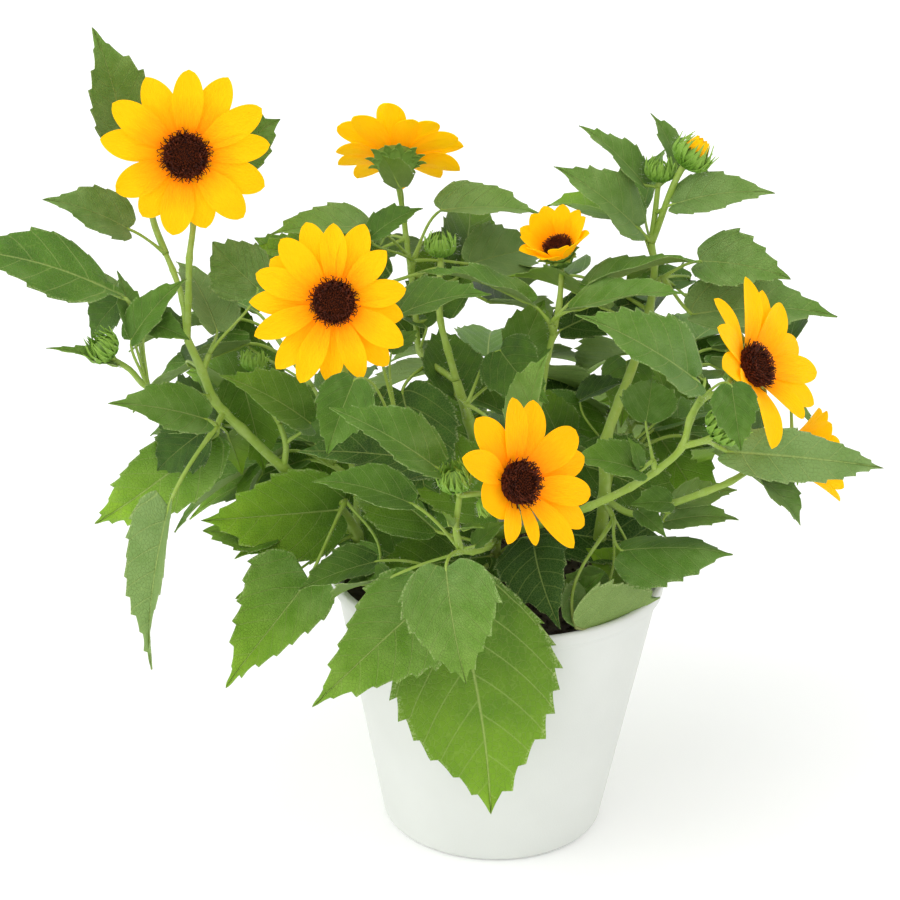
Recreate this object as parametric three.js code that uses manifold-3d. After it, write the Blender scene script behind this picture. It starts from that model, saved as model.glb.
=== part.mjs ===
// A potted dwarf sunflower in bloom: a plain round pot filled with soil, the stems of one
// clump, boughs that each carry a flower head or a bud, and masses of leaves on their stalks.
// Units are millimetres, +Z is up, and the origin is the centre of the pot's flat underside.
// A direction is written as a heading in plan (0 is +X, 90 is +Y) and a rise above the level.

import * as THREE from 'three';
import Module from 'manifold-3d';
import { mergeVertices } from 'three/addons/utils/BufferGeometryUtils.js';

const wasm = await Module();
wasm.setup();

// Driving sizes of the pot and its filling
const potHeight = 123;
const potRimRadius = 75;
const potMouthRadius = 72;
const potFootRadius = 51;
const potFootRounding = 4;
const potWall = 2;
const potFloor = 3;
const potLipHeight = 7;
const potFacets = 36;
const soilTop = 112;

// Driving sizes of the plant
const gap = 0.3;
const stalkRadius = 1;
const leafThickness = 1 / 60;
const leafFold = 20;
const leafArch = 0.06;
const leafLobe = 0.1;
const petalLength = 27;
const petalWidth = 11;
const petalThickness = 1.2;
const discRadius = 11;
const discDome = 4.5;
const calyxDepth = 11;
const calyxRadius = 9;
const bractRadius = 15;

// Colours and finish of the sub-parts
const finish = (color, roughness) => new THREE.MeshStandardMaterial({ color, roughness, metalness: 0 });
const potFinish = finish(0xdfe0dc, 0.45);
const soilFinish = finish(0x1d1712, 1);
const stemFinish = finish(0x93ac44, 0.6);
const leafFinish = finish(0x4f7f2b, 0.6);
const flowerFinish = finish(0xffb91c, 0.6);

// Stems and boughs. Each leg is one internode: heading, rise, length. Radii are at foot and tip.
const limbs = [
  {
    name: 'left_stem', foot: [-64, 14], radii: [3.2, 1.9],
    legs: [[-88, 52, 36], [-155, 58, 18], [-155, 41, 32], [-155, 48, 28], [-164, 48, 11], [-166, 54, 7],
      [158, 66, 13], [155, 62, 15]],
  },
  {
    name: 'left_flower_bough', from: ['left_stem', 8], radii: [1.6, 1.3],
    legs: [[86, 76, 17], [86, 76, 17], [78, 68, 16], [115, 71, 27]],
  },
  {
    name: 'left_rear_bough', from: ['left_stem', 8], radii: [1.5, 1.3],
    legs: [[110, 61, 17], [121, 47, 14], [130, 48, 8]],
  },
  {
    name: 'middle_stem', foot: [-2, 8], radii: [4, 2.2],
    legs: [[-92, 69, 14], [-91, 70, 13], [-108, 70, 26], [180, 75, 36], [160, 71, 18]],
  },
  {
    name: 'far_flower_bough', from: ['middle_stem', 5], radii: [1.7, 1.3],
    legs: [[127, 7, 20], [114, 6, 13], [101, 42, 14], [102, 51, 24], [111, 62, 16], [118, 73, 11],
      [-149, 78, 20]],
  },
  {
    name: 'bud_bough', from: ['middle_stem', 5], radii: [1.8, 1.3],
    legs: [[137, 66, 14], [119, 57, 13], [102, 64, 14], [81, 63, 9]],
  },
  {
    name: 'near_left_bough', from: ['middle_stem', 3], radii: [2.2, 1.4],
    legs: [[-131, 27, 35], [-147, 39, 29], [-154, 44, 19], [-159, 68, 15], [180, 74, 13], [128, 75, 26]],
  },
  {
    name: 'middle_flower_bough', from: ['middle_stem', 3], radii: [2, 1.3],
    legs: [[21, 49, 26], [19, 75, 24], [38, 80, 18], [41, 74, 11], [53, 74, 13], [85, 53, 20]],
  },
  {
    name: 'front_bough', from: ['middle_stem', 2], radii: [2.4, 1.8],
    legs: [[-93, 19, 46], [-100, 20, 38], [-102, 24, 22]],
  },
  {
    name: 'front_flower_bough', from: ['middle_stem', 2], radii: [2.2, 1.5],
    legs: [[-78, 31, 57], [-83, 32, 42], [-121, 35, 27]],
  },
  {
    name: 'right_stem', foot: [44, 16], radii: [3.6, 1.8],
    legs: [[-79, 72, 46], [95, 86, 28], [46, 64, 19], [47, 62, 23], [58, 63, 18], [65, 73, 11],
      [76, 78, 10]],
  },
  {
    name: 'right_flower_bough', from: ['middle_stem', 2], radii: [2.4, 1.5],
    legs: [[-52, 29, 49], [-43, 32, 23], [-32, 35, 23], [-32, 41, 15], [-39, 49, 19], [0, 78, 12],
      [55, 38, 9], [54, -1, 17], [77, -6, 31]],
  },
  {
    name: 'right_low_bough', from: ['right_stem', 1], radii: [2, 1.5],
    legs: [[-66, 11, 36], [-32, 30, 17], [-17, 28, 16], [11, 21, 11], [39, 15, 13], [48, 9, 16],
      [50, 15, 14], [65, -50, 16]],
  },
  {
    name: 'rear_left_bough', from: ['left_stem', 1], radii: [2, 1.4],
    legs: [[95, 30, 30], [115, 35, 30], [125, 30, 25]],
  },
  {
    name: 'rear_bough', from: ['middle_stem', 2], radii: [2, 1.4],
    legs: [[100, 25, 35], [95, 15, 35], [85, 5, 25]],
  },
  {
    name: 'rear_right_bough', from: ['right_stem', 1], radii: [2, 1.4],
    legs: [[80, 10, 35], [70, 16, 30], [65, 10, 20]],
  },
];

// Flower heads, each on the tip of its bough: the way it faces, its number of petals, how far they
// cup forward, and its size beside a full head
const flowers = [
  { name: 'left_flower', bough: 'left_flower_bough', facing: [-81, 13], petals: 13, cup: 8, size: 1.05 },
  { name: 'far_flower', bough: 'far_flower_bough', facing: [93, 45], petals: 13, cup: 12, size: 0.92 },
  { name: 'near_left_flower', bough: 'near_left_bough', facing: [-85, 17], petals: 17, cup: 6, size: 0.98 },
  {
    name: 'middle_flower', bough: 'middle_flower_bough', facing: [-125, 60], petals: 12, cup: 55,
    size: 0.66,
  },
  { name: 'front_flower', bough: 'front_flower_bough', facing: [-50, 21], petals: 13, cup: 12, size: 0.96 },
  { name: 'right_flower', bough: 'right_flower_bough', facing: [-32, 30], petals: 13, cup: 15, size: 1.02 },
  { name: 'far_right_flower', bough: 'right_low_bough', facing: [12, 8], petals: 12, cup: 30, size: 0.72 },
];

// Masses of foliage. Each stands on a node of a limb with a short stem of its own, whose nodes
// carry the leaves: stalk and blade are each heading, rise and length, and roll tips the blade.
const masses = [
  {
    name: 'front_foliage', from: ['front_bough', 3], legs: [[-106, 59, 14], [-71, 77, 10], [-55, 79, 6]],
    leaves: [
      { node: 0, stalk: [-104, 4, 22], blade: [-46, -74, 48], width: 39, roll: -40 },
      { node: 0, stalk: [180, 44, 28], blade: [180, 13, 40], width: 24, roll: 25 },
      { node: 3, stalk: [168, 48, 14], blade: [-169, 33, 50], width: 31, roll: 30 },
      { node: 0, stalk: [-35, 28, 8], blade: [19, 35, 16], width: 10, roll: -25 },
      { node: 1, stalk: [-128, 38, 4], blade: [-132, 57, 9], width: 6 },
      { node: 1, stalk: [-51, 19, 4], blade: [-21, 13, 10], width: 6 },
    ],
    buds: [
      { node: 3, stalk: [-140, 65, 4], facing: [-118, 69], radius: 6 },
      { node: 3, stalk: [-12, 4, 11], facing: [-55, -58], radius: 4.5 },
    ],
  },
  {
    name: 'front_pot_foliage', from: ['middle_stem', 1], legs: [[-100, 12, 30], [-103, 13, 22]],
    leaves: [
      { node: 2, stalk: [-82, 36, 21], blade: [-73, -70, 104], width: 72, roll: -15 },
      { node: 2, stalk: [-141, 5, 21], blade: [-150, -37, 70], width: 44, roll: 75 },
      { node: 2, stalk: [-118, 57, 39], blade: [-153, 0, 42], width: 25, roll: 15 },
    ],
  },
  {
    name: 'near_left_foliage', from: ['near_left_bough', 2], legs: [[46, 59, 5]],
    leaves: [
      { node: 1, stalk: [-35, -16, 22], blade: [-166, 9, 60], width: 36, roll: 28 },
      { node: 1, stalk: [-119, 46, 50], blade: [-129, -60, 32], width: 25, roll: 40 },
      { node: 1, stalk: [125, 76, 49], blade: [-13, 21, 48], width: 28, roll: -22 },
      { node: 1, stalk: [107, 66, 36], blade: [52, 19, 18], width: 11, roll: -20 },
    ],
  },
  {
    name: 'left_top_foliage', from: ['left_rear_bough', 3],
    legs: [[124, 47, 18], [102, 53, 14], [73, 47, 12]],
    leaves: [
      { node: 0, stalk: [-173, 36, 19], blade: [-162, 24, 38], width: 25, roll: 45 },
      { node: 3, stalk: [165, 45, 20], blade: [-149, 74, 46], width: 29, roll: 55 },
      { node: 3, stalk: [8, 5, 30], blade: [8, 35, 28], width: 20, roll: -50 },
    ],
  },
  {
    name: 'left_side_foliage', from: ['left_stem', 6],
    legs: [[-144, 23, 17], [-163, 12, 14], [-163, 50, 11], [-162, 37, 8]],
    leaves: [
      { node: 2, stalk: [158, 75, 40], blade: [-161, 18, 76], width: 40, roll: 33 },
      { node: 2, stalk: [-142, 73, 23], blade: [25, 45, 34], width: 20, roll: -30 },
      { node: 2, stalk: [0, 87, 28], blade: [-24, -11, 20], width: 14, roll: -40 },
      { node: 2, stalk: [135, 63, 38], blade: [156, -52, 25], width: 18, roll: 80 },
      { node: 4, stalk: [-30, -53, 3], blade: [-166, 19, 30], width: 9, roll: 20 },
    ],
    buds: [{ node: 4, stalk: [-144, 56, 3], facing: [-144, 48], radius: 6.5 }],
  },
  {
    name: 'left_low_foliage', from: ['left_stem', 5], legs: [[-104, -22, 9]],
    leaves: [
      { node: 1, stalk: [-120, 35, 9], blade: [-148, 19, 45], width: 27, roll: 60 },
      { node: 1, stalk: [-132, -50, 42], blade: [-149, -81, 73], width: 30, roll: 8 },
      { node: 1, stalk: [126, -8, 10], blade: [154, -21, 32], width: 19, roll: 28 },
      { node: 1, stalk: [99, -38, 13], blade: [161, -40, 80], width: 42, roll: 100 },
      { node: 1, stalk: [74, -35, 13], blade: [60, -66, 24], width: 17, roll: 34 },
    ],
  },
  {
    name: 'left_fork_foliage', from: ['left_stem', 7], legs: [[48, 59, 8]],
    leaves: [
      { node: 1, stalk: [77, 34, 12], blade: [122, 28, 46], width: 28, roll: -10 },
      { node: 1, stalk: [40, 44, 35], blade: [147, 33, 30], width: 30, roll: 52 },
    ],
  },
  {
    name: 'left_inner_foliage', from: ['left_stem', 3], legs: [[-66, 76, 13], [159, 72, 9]],
    leaves: [
      { node: 2, stalk: [161, 46, 26], blade: [-50, -65, 42], width: 32, roll: -30 },
      { node: 1, stalk: [5, 40, 14], blade: [-156, 34, 48], width: 29, roll: 42 },
    ],
    buds: [{ node: 2, stalk: [141, 52, 26], facing: [50, 77], radius: 5 }],
  },
  {
    name: 'left_pot_foliage', from: ['left_stem', 2], legs: [[-51, 30, 9]],
    leaves: [
      { node: 1, stalk: [-100, 5, 14], blade: [-155, 8, 64], width: 45, roll: 75 },
      { node: 1, stalk: [-113, -34, 42], blade: [-147, -45, 58], width: 36, roll: 52 },
      { node: 1, stalk: [-50, -38, 32], blade: [167, -27, 40], width: 24, roll: 20 },
    ],
  },
  {
    name: 'far_foliage', from: ['far_flower_bough', 4], legs: [[-80, 66, 8]],
    leaves: [
      { node: 1, stalk: [31, 64, 26], blade: [17, -5, 48], width: 26, roll: -115 },
      { node: 1, stalk: [-119, 29, 39], blade: [21, 26, 26], width: 16, roll: -28 },
      { node: 1, stalk: [-127, 34, 39], blade: [-171, -2, 42], width: 25, roll: 20 },
      { node: 1, stalk: [17, -7, 27], blade: [43, -1, 46], width: 32, roll: -42 },
    ],
  },
  {
    name: 'bud_foliage', from: ['bud_bough', 4], legs: [[180, 89, 4]],
    leaves: [],
    buds: [{ node: 1, stalk: [180, 89, 2], facing: [180, 89], radius: 6 }],
  },
  {
    name: 'middle_foliage', from: ['middle_stem', 4], legs: [[-94, 43, 16]],
    leaves: [
      { node: 1, stalk: [158, 53, 9], blade: [80, 25, 36], width: 32, roll: -12 },
      { node: 1, stalk: [41, 49, 28], blade: [-46, -28, 34], width: 30, roll: -50 },
      { node: 1, stalk: [-61, 3, 55], blade: [-45, 78, 41], width: 26, roll: -80 },
      { node: 1, stalk: [44, 23, 34], blade: [63, 43, 32], width: 24, roll: -27 },
    ],
  },
  {
    name: 'middle_flower_foliage', from: ['middle_flower_bough', 4], legs: [[-105, 46, 9]],
    leaves: [
      { node: 1, stalk: [-156, 46, 14], blade: [-178, 16, 50], width: 25, roll: 0 },
      { node: 1, stalk: [15, 40, 22], blade: [16, 12, 52], width: 30, roll: 10 },
      { node: 1, stalk: [-45, 35, 16], blade: [-14, 15, 50], width: 27, roll: -10 },
    ],
  },
  {
    name: 'right_top_foliage', from: ['right_stem', 7], legs: [[149, 77, 9], [53, 84, 13], [52, 84, 12]],
    leaves: [
      { node: 1, stalk: [-172, 46, 10], blade: [-151, 37, 53], width: 31, roll: 52 },
      { node: 3, stalk: [171, 5, 6], blade: [180, 42, 39], width: 20, roll: 28 },
      { node: 3, stalk: [38, 28, 13], blade: [141, 55, 28], width: 15, roll: 10 },
      { node: 2, stalk: [-39, 19, 12], blade: [-7, 13, 45], width: 25, roll: -45 },
    ],
    buds: [
      { node: 3, stalk: [0, 85, 3], facing: [0, 86], radius: 6 },
      { node: 1, stalk: [-14, 71, 38], facing: [0, 56], radius: 8 },
    ],
  },
  {
    name: 'right_upper_foliage', from: ['right_stem', 6], legs: [[-61, 39, 9]],
    leaves: [
      { node: 1, stalk: [-7, 28, 18], blade: [-22, -3, 41], width: 29, roll: -48 },
      { node: 1, stalk: [-42, -36, 22], blade: [5, 0, 64], width: 38, roll: -28 },
      { node: 1, stalk: [51, -34, 28], blade: [30, -26, 45], width: 28, roll: -50 },
      { node: 1, stalk: [52, -15, 23], blade: [-162, -5, 34], width: 18, roll: 22 },
    ],
  },
  {
    name: 'right_high_foliage', from: ['right_flower_bough', 7], legs: [[-91, 38, 5]],
    leaves: [
      { node: 1, stalk: [-106, 38, 22], blade: [-155, 32, 62], width: 33, roll: 46 },
      { node: 1, stalk: [-62, 29, 24], blade: [-73, -59, 26], width: 20, roll: -22 },
    ],
  },
  {
    name: 'right_side_foliage', from: ['right_flower_bough', 5], legs: [[-31, 24, 9], [-30, 33, 7]],
    leaves: [{ node: 1, stalk: [0, -15, 11], blade: [21, -13, 76], width: 27, roll: -90 }],
    buds: [{ node: 2, stalk: [-58, 55, 2], facing: [-44, 46], radius: 7.5 }],
  },
  {
    name: 'right_shoot_foliage', from: ['right_flower_bough', 4], legs: [[-129, 64, 6]],
    leaves: [
      { node: 1, stalk: [-135, -20, 8], blade: [-156, 16, 34], width: 22, roll: 33 },
      { node: 1, stalk: [94, 15, 27], blade: [82, 27, 26], width: 26, roll: -7 },
      { node: 1, stalk: [-142, -11, 7], blade: [-145, 65, 16], width: 8, roll: 80 },
    ],
  },
  {
    name: 'right_low_foliage', from: ['right_low_bough', 2], legs: [[-114, -30, 5]],
    leaves: [
      { node: 1, stalk: [-136, 10, 15], blade: [17, -7, 42], width: 20, roll: -35 },
      { node: 1, stalk: [32, 16, 12], blade: [17, 9, 22], width: 11, roll: -27 },
    ],
  },
  {
    name: 'right_far_foliage', from: ['right_low_bough', 5], legs: [[-51, -30, 3]],
    leaves: [{ node: 1, stalk: [-68, -2, 6], blade: [-14, -46, 26], width: 23, roll: -15 }],
  },
  {
    name: 'right_rim_foliage', from: ['right_stem', 1], legs: [[-72, -18, 13]],
    leaves: [
      { node: 1, stalk: [-85, -7, 28], blade: [-12, 6, 48], width: 29, roll: -60 },
      { node: 1, stalk: [-121, -19, 49], blade: [-14, 7, 42], width: 21, roll: -38 },
      { node: 1, stalk: [-125, -30, 37], blade: [-35, 32, 16], width: 11, roll: -60 },
    ],
  },
];

// Masses at the back, whose leaves follow a rule: pairs on either side of the stem and one at its end
const rearMasses = [
  { name: 'rear_left_foliage', from: ['rear_left_bough', 3], legs: [[130, 30, 18], [135, 35, 18]] },
  { name: 'rear_left_low_foliage', from: ['rear_left_bough', 1], legs: [[140, 15, 14]] },
  { name: 'rear_foliage', from: ['rear_bough', 3], legs: [[90, 12, 18], [88, 8, 18]] },
  { name: 'rear_middle_foliage', from: ['rear_bough', 1], legs: [[60, 35, 12]] },
  { name: 'rear_right_foliage', from: ['rear_right_bough', 3], legs: [[62, 22, 16], [58, 22, 16]] },
  { name: 'rear_right_low_foliage', from: ['rear_right_bough', 1], legs: [[45, 5, 14]] },
];

const group = new THREE.Group();
const up = new THREE.Vector3(0, 0, 1);
const turn = Math.PI * 2;
const radians = THREE.MathUtils.degToRad;

function direction([heading, rise]) {
  const level = Math.cos(radians(rise));
  return new THREE.Vector3(
    level * Math.cos(radians(heading)), level * Math.sin(radians(heading)), Math.sin(radians(rise)));
}

// The nodes that a walk of legs passes, from its foot to its tip
function walk(foot, legs) {
  const nodes = [foot.clone()];
  for (const leg of legs) {
    nodes.push(nodes.at(-1).clone().addScaledVector(direction(leg), leg[2]));
  }
  return nodes;
}

// A closed solid from a geometry, with its doubled points merged and its empty faces dropped
function solidOf(geometry) {
  geometry.deleteAttribute('normal');
  geometry.deleteAttribute('uv');
  const merged = mergeVertices(geometry, 1e-4);
  const corners = [];
  const index = merged.index.array;
  for (let i = 0; i < index.length; i += 3) {
    const [a, b, c] = [index[i], index[i + 1], index[i + 2]];
    if (a !== b && b !== c && c !== a) corners.push(a, b, c);
  }
  const mesh = new wasm.Mesh({
    numProp: 3,
    vertProperties: new Float32Array(merged.attributes.position.array),
    triVerts: new Uint32Array(corners),
  });
  return new wasm.Manifold(mesh);
}

function solidFromPoints(points, faces) {
  const geometry = new THREE.BufferGeometry().setFromPoints(points);
  geometry.setIndex(faces.flat());
  return solidOf(geometry);
}

// A round limb along its nodes, tapering from one radius to the other. Grow makes it fatter and
// longer all over, for cutting a clearance round it.
function limb(nodes, [footRadius, tipRadius], { sides = 6, step = 16, flare = 0, grow = 0 } = {}) {
  const straight = nodes.length === 2;
  const path = straight ? new THREE.LineCurve3(...nodes) : new THREE.CatmullRomCurve3(nodes);
  const rings = Math.max(straight ? 1 : 2, Math.round(path.getLength() / step));
  const frames = path.computeFrenetFrames(rings);
  const points = [];
  const faces = [];
  for (let ring = 0; ring <= rings; ring++) {
    const share = ring / rings;
    const centre = path.getPointAt(share);
    if (ring === 0) centre.addScaledVector(frames.tangents[ring], -grow);
    if (ring === rings) centre.addScaledVector(frames.tangents[ring], grow);
    const swell = flare * Math.max(0, 1 - share * 6);
    const radius = footRadius + (tipRadius - footRadius) * share + swell + grow;
    for (let side = 0; side < sides; side++) {
      const angle = turn * side / sides;
      points.push(centre.clone()
        .addScaledVector(frames.normals[ring], radius * Math.cos(angle))
        .addScaledVector(frames.binormals[ring], radius * Math.sin(angle)));
    }
  }
  for (let ring = 0; ring < rings; ring++) {
    for (let side = 0; side < sides; side++) {
      const near = ring * sides + side;
      const next = ring * sides + (side + 1) % sides;
      faces.push([near, next, next + sides], [near, next + sides, near + sides]);
    }
  }
  const last = rings * sides;
  for (let side = 1; side < sides - 1; side++) {
    faces.push([0, side + 1, side], [last, last + side, last + side + 1]);
  }
  return solidFromPoints(points, faces);
}

// The frame of a leaf that points along a heading and rise, with its upper side up unless rolled
function leafFrame(way, roll = 0) {
  const along = direction(way);
  const side = new THREE.Vector3(Math.sin(radians(way[0])), -Math.cos(radians(way[0])), 0);
  const normal = side.clone().cross(along);
  side.applyAxisAngle(along, -radians(roll));
  normal.applyAxisAngle(along, -radians(roll));
  return { along, side, normal };
}

// Half-widths along a leaf, as shares of its greatest: broad low down, with a drawn-out tip
const leafHalf = (share) => Math.sin(Math.PI * share ** 0.58);
const stationsFor = (length) => {
  if (length > 45) return [0.07, 0.22, 0.43, 0.72];
  return length > 24 ? [0.1, 0.34, 0.68] : [0.15, 0.55];
};

// A leaf as one solid of four-cornered rings: two round the stalk, one where the blade begins, and
// lens-shaped ones along the blade, whose midrib bows up from its chord, down to the tip
function leaf(node, row, grow = 0) {
  const [, , stalkLength] = row.stalk;
  const [, , length] = row.blade;
  const bladeBase = node.clone().addScaledVector(direction(row.stalk), stalkLength);
  const { along, side, normal } = leafFrame(row.blade, row.roll);
  const points = [];
  const ring = (centre, way, radius) => {
    const level = side.clone().addScaledVector(way, -side.dot(way)).normalize();
    const over = level.clone().cross(way);
    for (const [axis, sign] of [[level, 1], [over, 1], [level, -1], [over, -1]]) {
      points.push(centre.clone().addScaledVector(axis, sign * (radius + grow)));
    }
  };
  const out = direction(row.stalk);
  const turnedIn = out.clone().add(along).normalize();
  const middle = node.clone().lerp(bladeBase, 0.5).addScaledVector(up, stalkLength * 0.06);
  ring(node.clone().addScaledVector(out, -grow), out, stalkRadius * 1.2);
  if (stalkLength > 18) ring(middle, out, stalkRadius);
  ring(bladeBase, turnedIn, stalkRadius * 0.9);
  for (const share of stationsFor(length)) {
    const across = leafHalf(share) * row.width / 2 + grow;
    const spread = across * Math.cos(radians(leafFold));
    const lift = across * Math.sin(radians(leafFold));
    const half = Math.max(0.9, length * leafThickness) / 2 + grow;
    const centre = bladeBase.clone()
      .addScaledVector(along, share * length)
      .addScaledVector(normal, length * leafArch * 4 * share * (1 - share));
    const margin = centre.clone()
      .addScaledVector(along, -leafLobe * (1 - share) ** 4 * length)
      .addScaledVector(normal, lift);
    points.push(
      margin.clone().addScaledVector(side, spread), centre.clone().addScaledVector(normal, half),
      margin.addScaledVector(side, -spread), centre.addScaledVector(normal, -half));
  }
  points.push(bladeBase.clone().addScaledVector(along, length + grow));
  const last = points.length - 1;
  const faces = [[0, 1, 2], [0, 2, 3]];
  for (let near = 0; near < last - 4; near += 4) {
    for (let k = 0; k < 4; k++) {
      const next = (k + 1) % 4;
      faces.push([near + k, near + 4 + k, near + 4 + next], [near + k, near + 4 + next, near + next]);
    }
  }
  for (let k = 0; k < 4; k++) faces.push([last - 4 + k, last, last - 4 + (k + 1) % 4]);
  return solidFromPoints(points, faces);
}

// Any two level and upright directions square to the way a head faces
function faceFrame(facing) {
  const forward = direction(facing);
  const across = new THREE.Vector3(-Math.sin(radians(facing[0])), Math.cos(radians(facing[0])), 0);
  return { forward, across, upright: forward.clone().cross(across) };
}

// A turned solid whose profile runs from axis to axis, upright on the origin
function turned(profile, facets) {
  const shape = new THREE.LatheGeometry(profile.map(([r, h]) => new THREE.Vector2(r, h)), facets);
  return solidOf(shape.rotateX(Math.PI / 2));
}

// A solid that repeats round an axis: corners names the points of one sector by share of a sector,
// radius and height, and faces names the corners of its triangles. A name with a plus is the next
// sector's corner, and foot and top stand on the axis.
function roundSolid(base, facing, count, sector, foot, top, faces) {
  const { forward, across, upright } = faceFrame(facing);
  const at = (turns, radius, height) => base.clone()
    .addScaledVector(across, Math.cos(turn * turns) * radius)
    .addScaledVector(upright, Math.sin(turn * turns) * radius)
    .addScaledVector(forward, height);
  const points = [at(0, 0, foot), at(0, 0, top)];
  const names = Object.keys(sector(0));
  for (let k = 0; k < count; k++) {
    for (const [share, radius, height] of Object.values(sector(k))) {
      points.push(at((k + share) / count, radius, height));
    }
  }
  const indexOf = (name, k) => {
    if (name === 'foot') return 0;
    if (name === 'top') return 1;
    const next = name.endsWith('+');
    const home = next ? (k + 1) % count : k;
    return 2 + home * names.length + names.indexOf(next ? name.slice(0, -1) : name);
  };
  const triangles = [];
  for (let k = 0; k < count; k++) {
    for (const face of faces) triangles.push(face.split(' ').map((name) => indexOf(name, k)));
  }
  return solidFromPoints(points, triangles);
}

// A flower head: a calyx edged with pointed bracts, a ring of petals and a domed disc. A sector is
// one petal: the valley before it, its shoulders and tip, and its middle above and below.
function flowerHead(tip, { facing, petals, cup, size }, grow = 0) {
  const half = petalThickness / 2;
  const sector = (k) => {
    const length = petalLength * (1 - 0.08 * (k % 3));
    const onPetal = (share, along, lift = 0) => {
      const out = length * along;
      return [share, (discRadius + out * Math.cos(radians(cup))) * size + (lift ? 0 : grow),
        (calyxDepth + out * Math.sin(radians(cup))) * size + lift];
    };
    const shoulder = petalWidth / 2 / (discRadius + length * 0.75) / turn * petals;
    return {
      valley: onPetal(-0.5, 0.4),
      before: onPetal(-shoulder, 0.75),
      tip: onPetal(0, 1),
      after: onPetal(shoulder, 0.75),
      upper: onPetal(0, 0.5, half + grow),
      under: onPetal(0, 0.5, -half - grow),
      disc: [-0.5, discRadius * size, (calyxDepth + 1) * size + grow],
      calyx: [-0.5, calyxRadius * size + grow, (calyxDepth - 4.5) * size - grow],
      bract: [0, bractRadius * size + grow, (calyxDepth - 3) * size - grow],
    };
  };
  return roundSolid(tip, facing, petals, sector, -2 - grow, (calyxDepth + discDome) * size + grow, [
    'disc valley upper', 'valley before upper', 'before tip upper', 'tip after upper',
    'after valley+ upper', 'valley+ disc+ upper', 'disc+ disc upper', 'disc disc+ top',
    'valley calyx under', 'before valley under', 'tip before under', 'after tip under',
    'valley+ after under', 'calyx+ valley+ under', 'bract calyx+ under', 'calyx bract under',
    'calyx foot bract', 'bract foot calyx+',
  ]);
}

// A closed bud: a round body whose narrow sepals stand up round it
function bud(node, { stalk, facing, radius }, grow = 0) {
  const base = node.clone().addScaledVector(direction(stalk), stalk[2]);
  const join = base.clone().addScaledVector(direction(facing), 1);
  const neck = limb([node, join], [1.2, 1.1], { sides: 3, grow });
  const sector = () => ({
    body: [-0.5, radius * 0.9 + grow, radius * 0.4 - grow],
    valley: [-0.5, radius * 0.9 + grow, radius * 1.1],
    tip: [0, radius * 1.15 + grow, radius * 1.8 + grow],
    inner: [0, radius * 0.6, radius * 1.3 + grow],
  });
  const head = roundSolid(base, facing, 6, sector, -grow, radius * 1.6 + grow, [
    'foot body+ body', 'body body+ tip', 'body tip valley', 'body+ valley+ tip', 'valley tip inner',
    'tip valley+ inner', 'valley inner top', 'inner valley+ top',
  ]);
  return neck.add(head);
}

function foliage(foot, { legs, leaves, buds = [] }, grow = 0) {
  const nodes = walk(foot, legs);
  let body = limb(nodes, [1.6, 1.2], { sides: 5, step: 18, grow });
  for (const row of leaves) body = body.add(leaf(nodes[row.node], row, grow));
  for (const row of buds) body = body.add(bud(nodes[row.node], row, grow));
  return body;
}

// Leaves at the back by rule: a pair at each node of the stem, outwards and hanging a little, and a
// last one that carries on from its end
function rearLeaves({ legs }) {
  const rows = legs.flatMap(([heading], k) => [-1, 1].map((hand) => {
    const length = 62 - 8 * k;
    return {
      node: k + 1, stalk: [heading + hand * (58 - 8 * k), 22, 24 - 6 * k],
      blade: [heading + hand * (62 - 12 * k), -30 + 14 * k, length], width: length * 0.64, roll: -12 * hand,
    };
  }));
  const [heading] = legs.at(-1);
  return [...rows, { node: legs.length, stalk: [heading, 30, 14], blade: [heading, -5, 58], width: 36 }];
}

// Every finished solid with its grown copy, which later ones are cut clear of
const kept = [];

function keep(name, solid, grown, material) {
  const box = solid.boundingBox();
  let body = solid;
  for (const other of kept) {
    const clear = [0, 1, 2].some((k) => box.min[k] > other.box.max[k] || box.max[k] < other.box.min[k]);
    if (!clear) body = body.subtract(other.grown);
  }
  const pieces = body.decompose().sort((a, b) => b.volume() - a.volume());
  body = pieces[0];
  kept.push({ grown, box: grown.boundingBox() });
  const { vertProperties, triVerts } = body.getMesh();
  const geometry = new THREE.BufferGeometry();
  geometry.setAttribute('position', new THREE.BufferAttribute(Float32Array.from(vertProperties), 3));
  geometry.setIndex(Array.from(triVerts));
  const mesh = new THREE.Mesh(geometry, material);
  mesh.name = name;
  group.add(mesh);
}

// The pot: foot, tapering wall, a lip round the mouth, and its inside down to the floor
function potSolid(grow = 0) {
  const rounding = Array.from({ length: 4 }, (_, k) => {
    const angle = Math.PI / 2 * k / 3;
    const radius = potFootRadius - potFootRounding * (1 - Math.sin(angle));
    return [radius + grow, potFootRounding * (1 - Math.cos(angle)) - grow];
  });
  const neck = potMouthRadius + 0.5;
  const lipFoot = potHeight - potLipHeight;
  const profile = [
    [0, -grow], ...rounding, [neck + grow, lipFoot], [potRimRadius - 0.5 + grow, lipFoot + 0.5],
    [potRimRadius + grow, potHeight - 1.5], [potRimRadius - 1 + grow, potHeight + grow],
    [potMouthRadius - grow, potHeight + grow], [neck - potWall - grow, lipFoot],
    [potFootRadius - potWall - 1 - grow, potFloor + grow], [0, potFloor + grow],
  ];
  return turned(profile, potFacets);
}

function soilSolid(grow = 0) {
  const wallAt = (height) => {
    const foot = potFootRadius - potWall - 1;
    const share = (height - potFloor) / (potHeight - potLipHeight - potFloor);
    return foot + (potMouthRadius + 0.5 - potWall - foot) * share;
  };
  const low = potFloor + gap;
  const top = soilTop + grow;
  const profile = [[0, low], [wallAt(low) - gap, low], [wallAt(soilTop) - gap + grow, top], [0, top]];
  return turned(profile, potFacets);
}

keep('pot', potSolid(), potSolid(gap), potFinish);
keep('soil', soilSolid(), soilSolid(gap), soilFinish);

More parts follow.
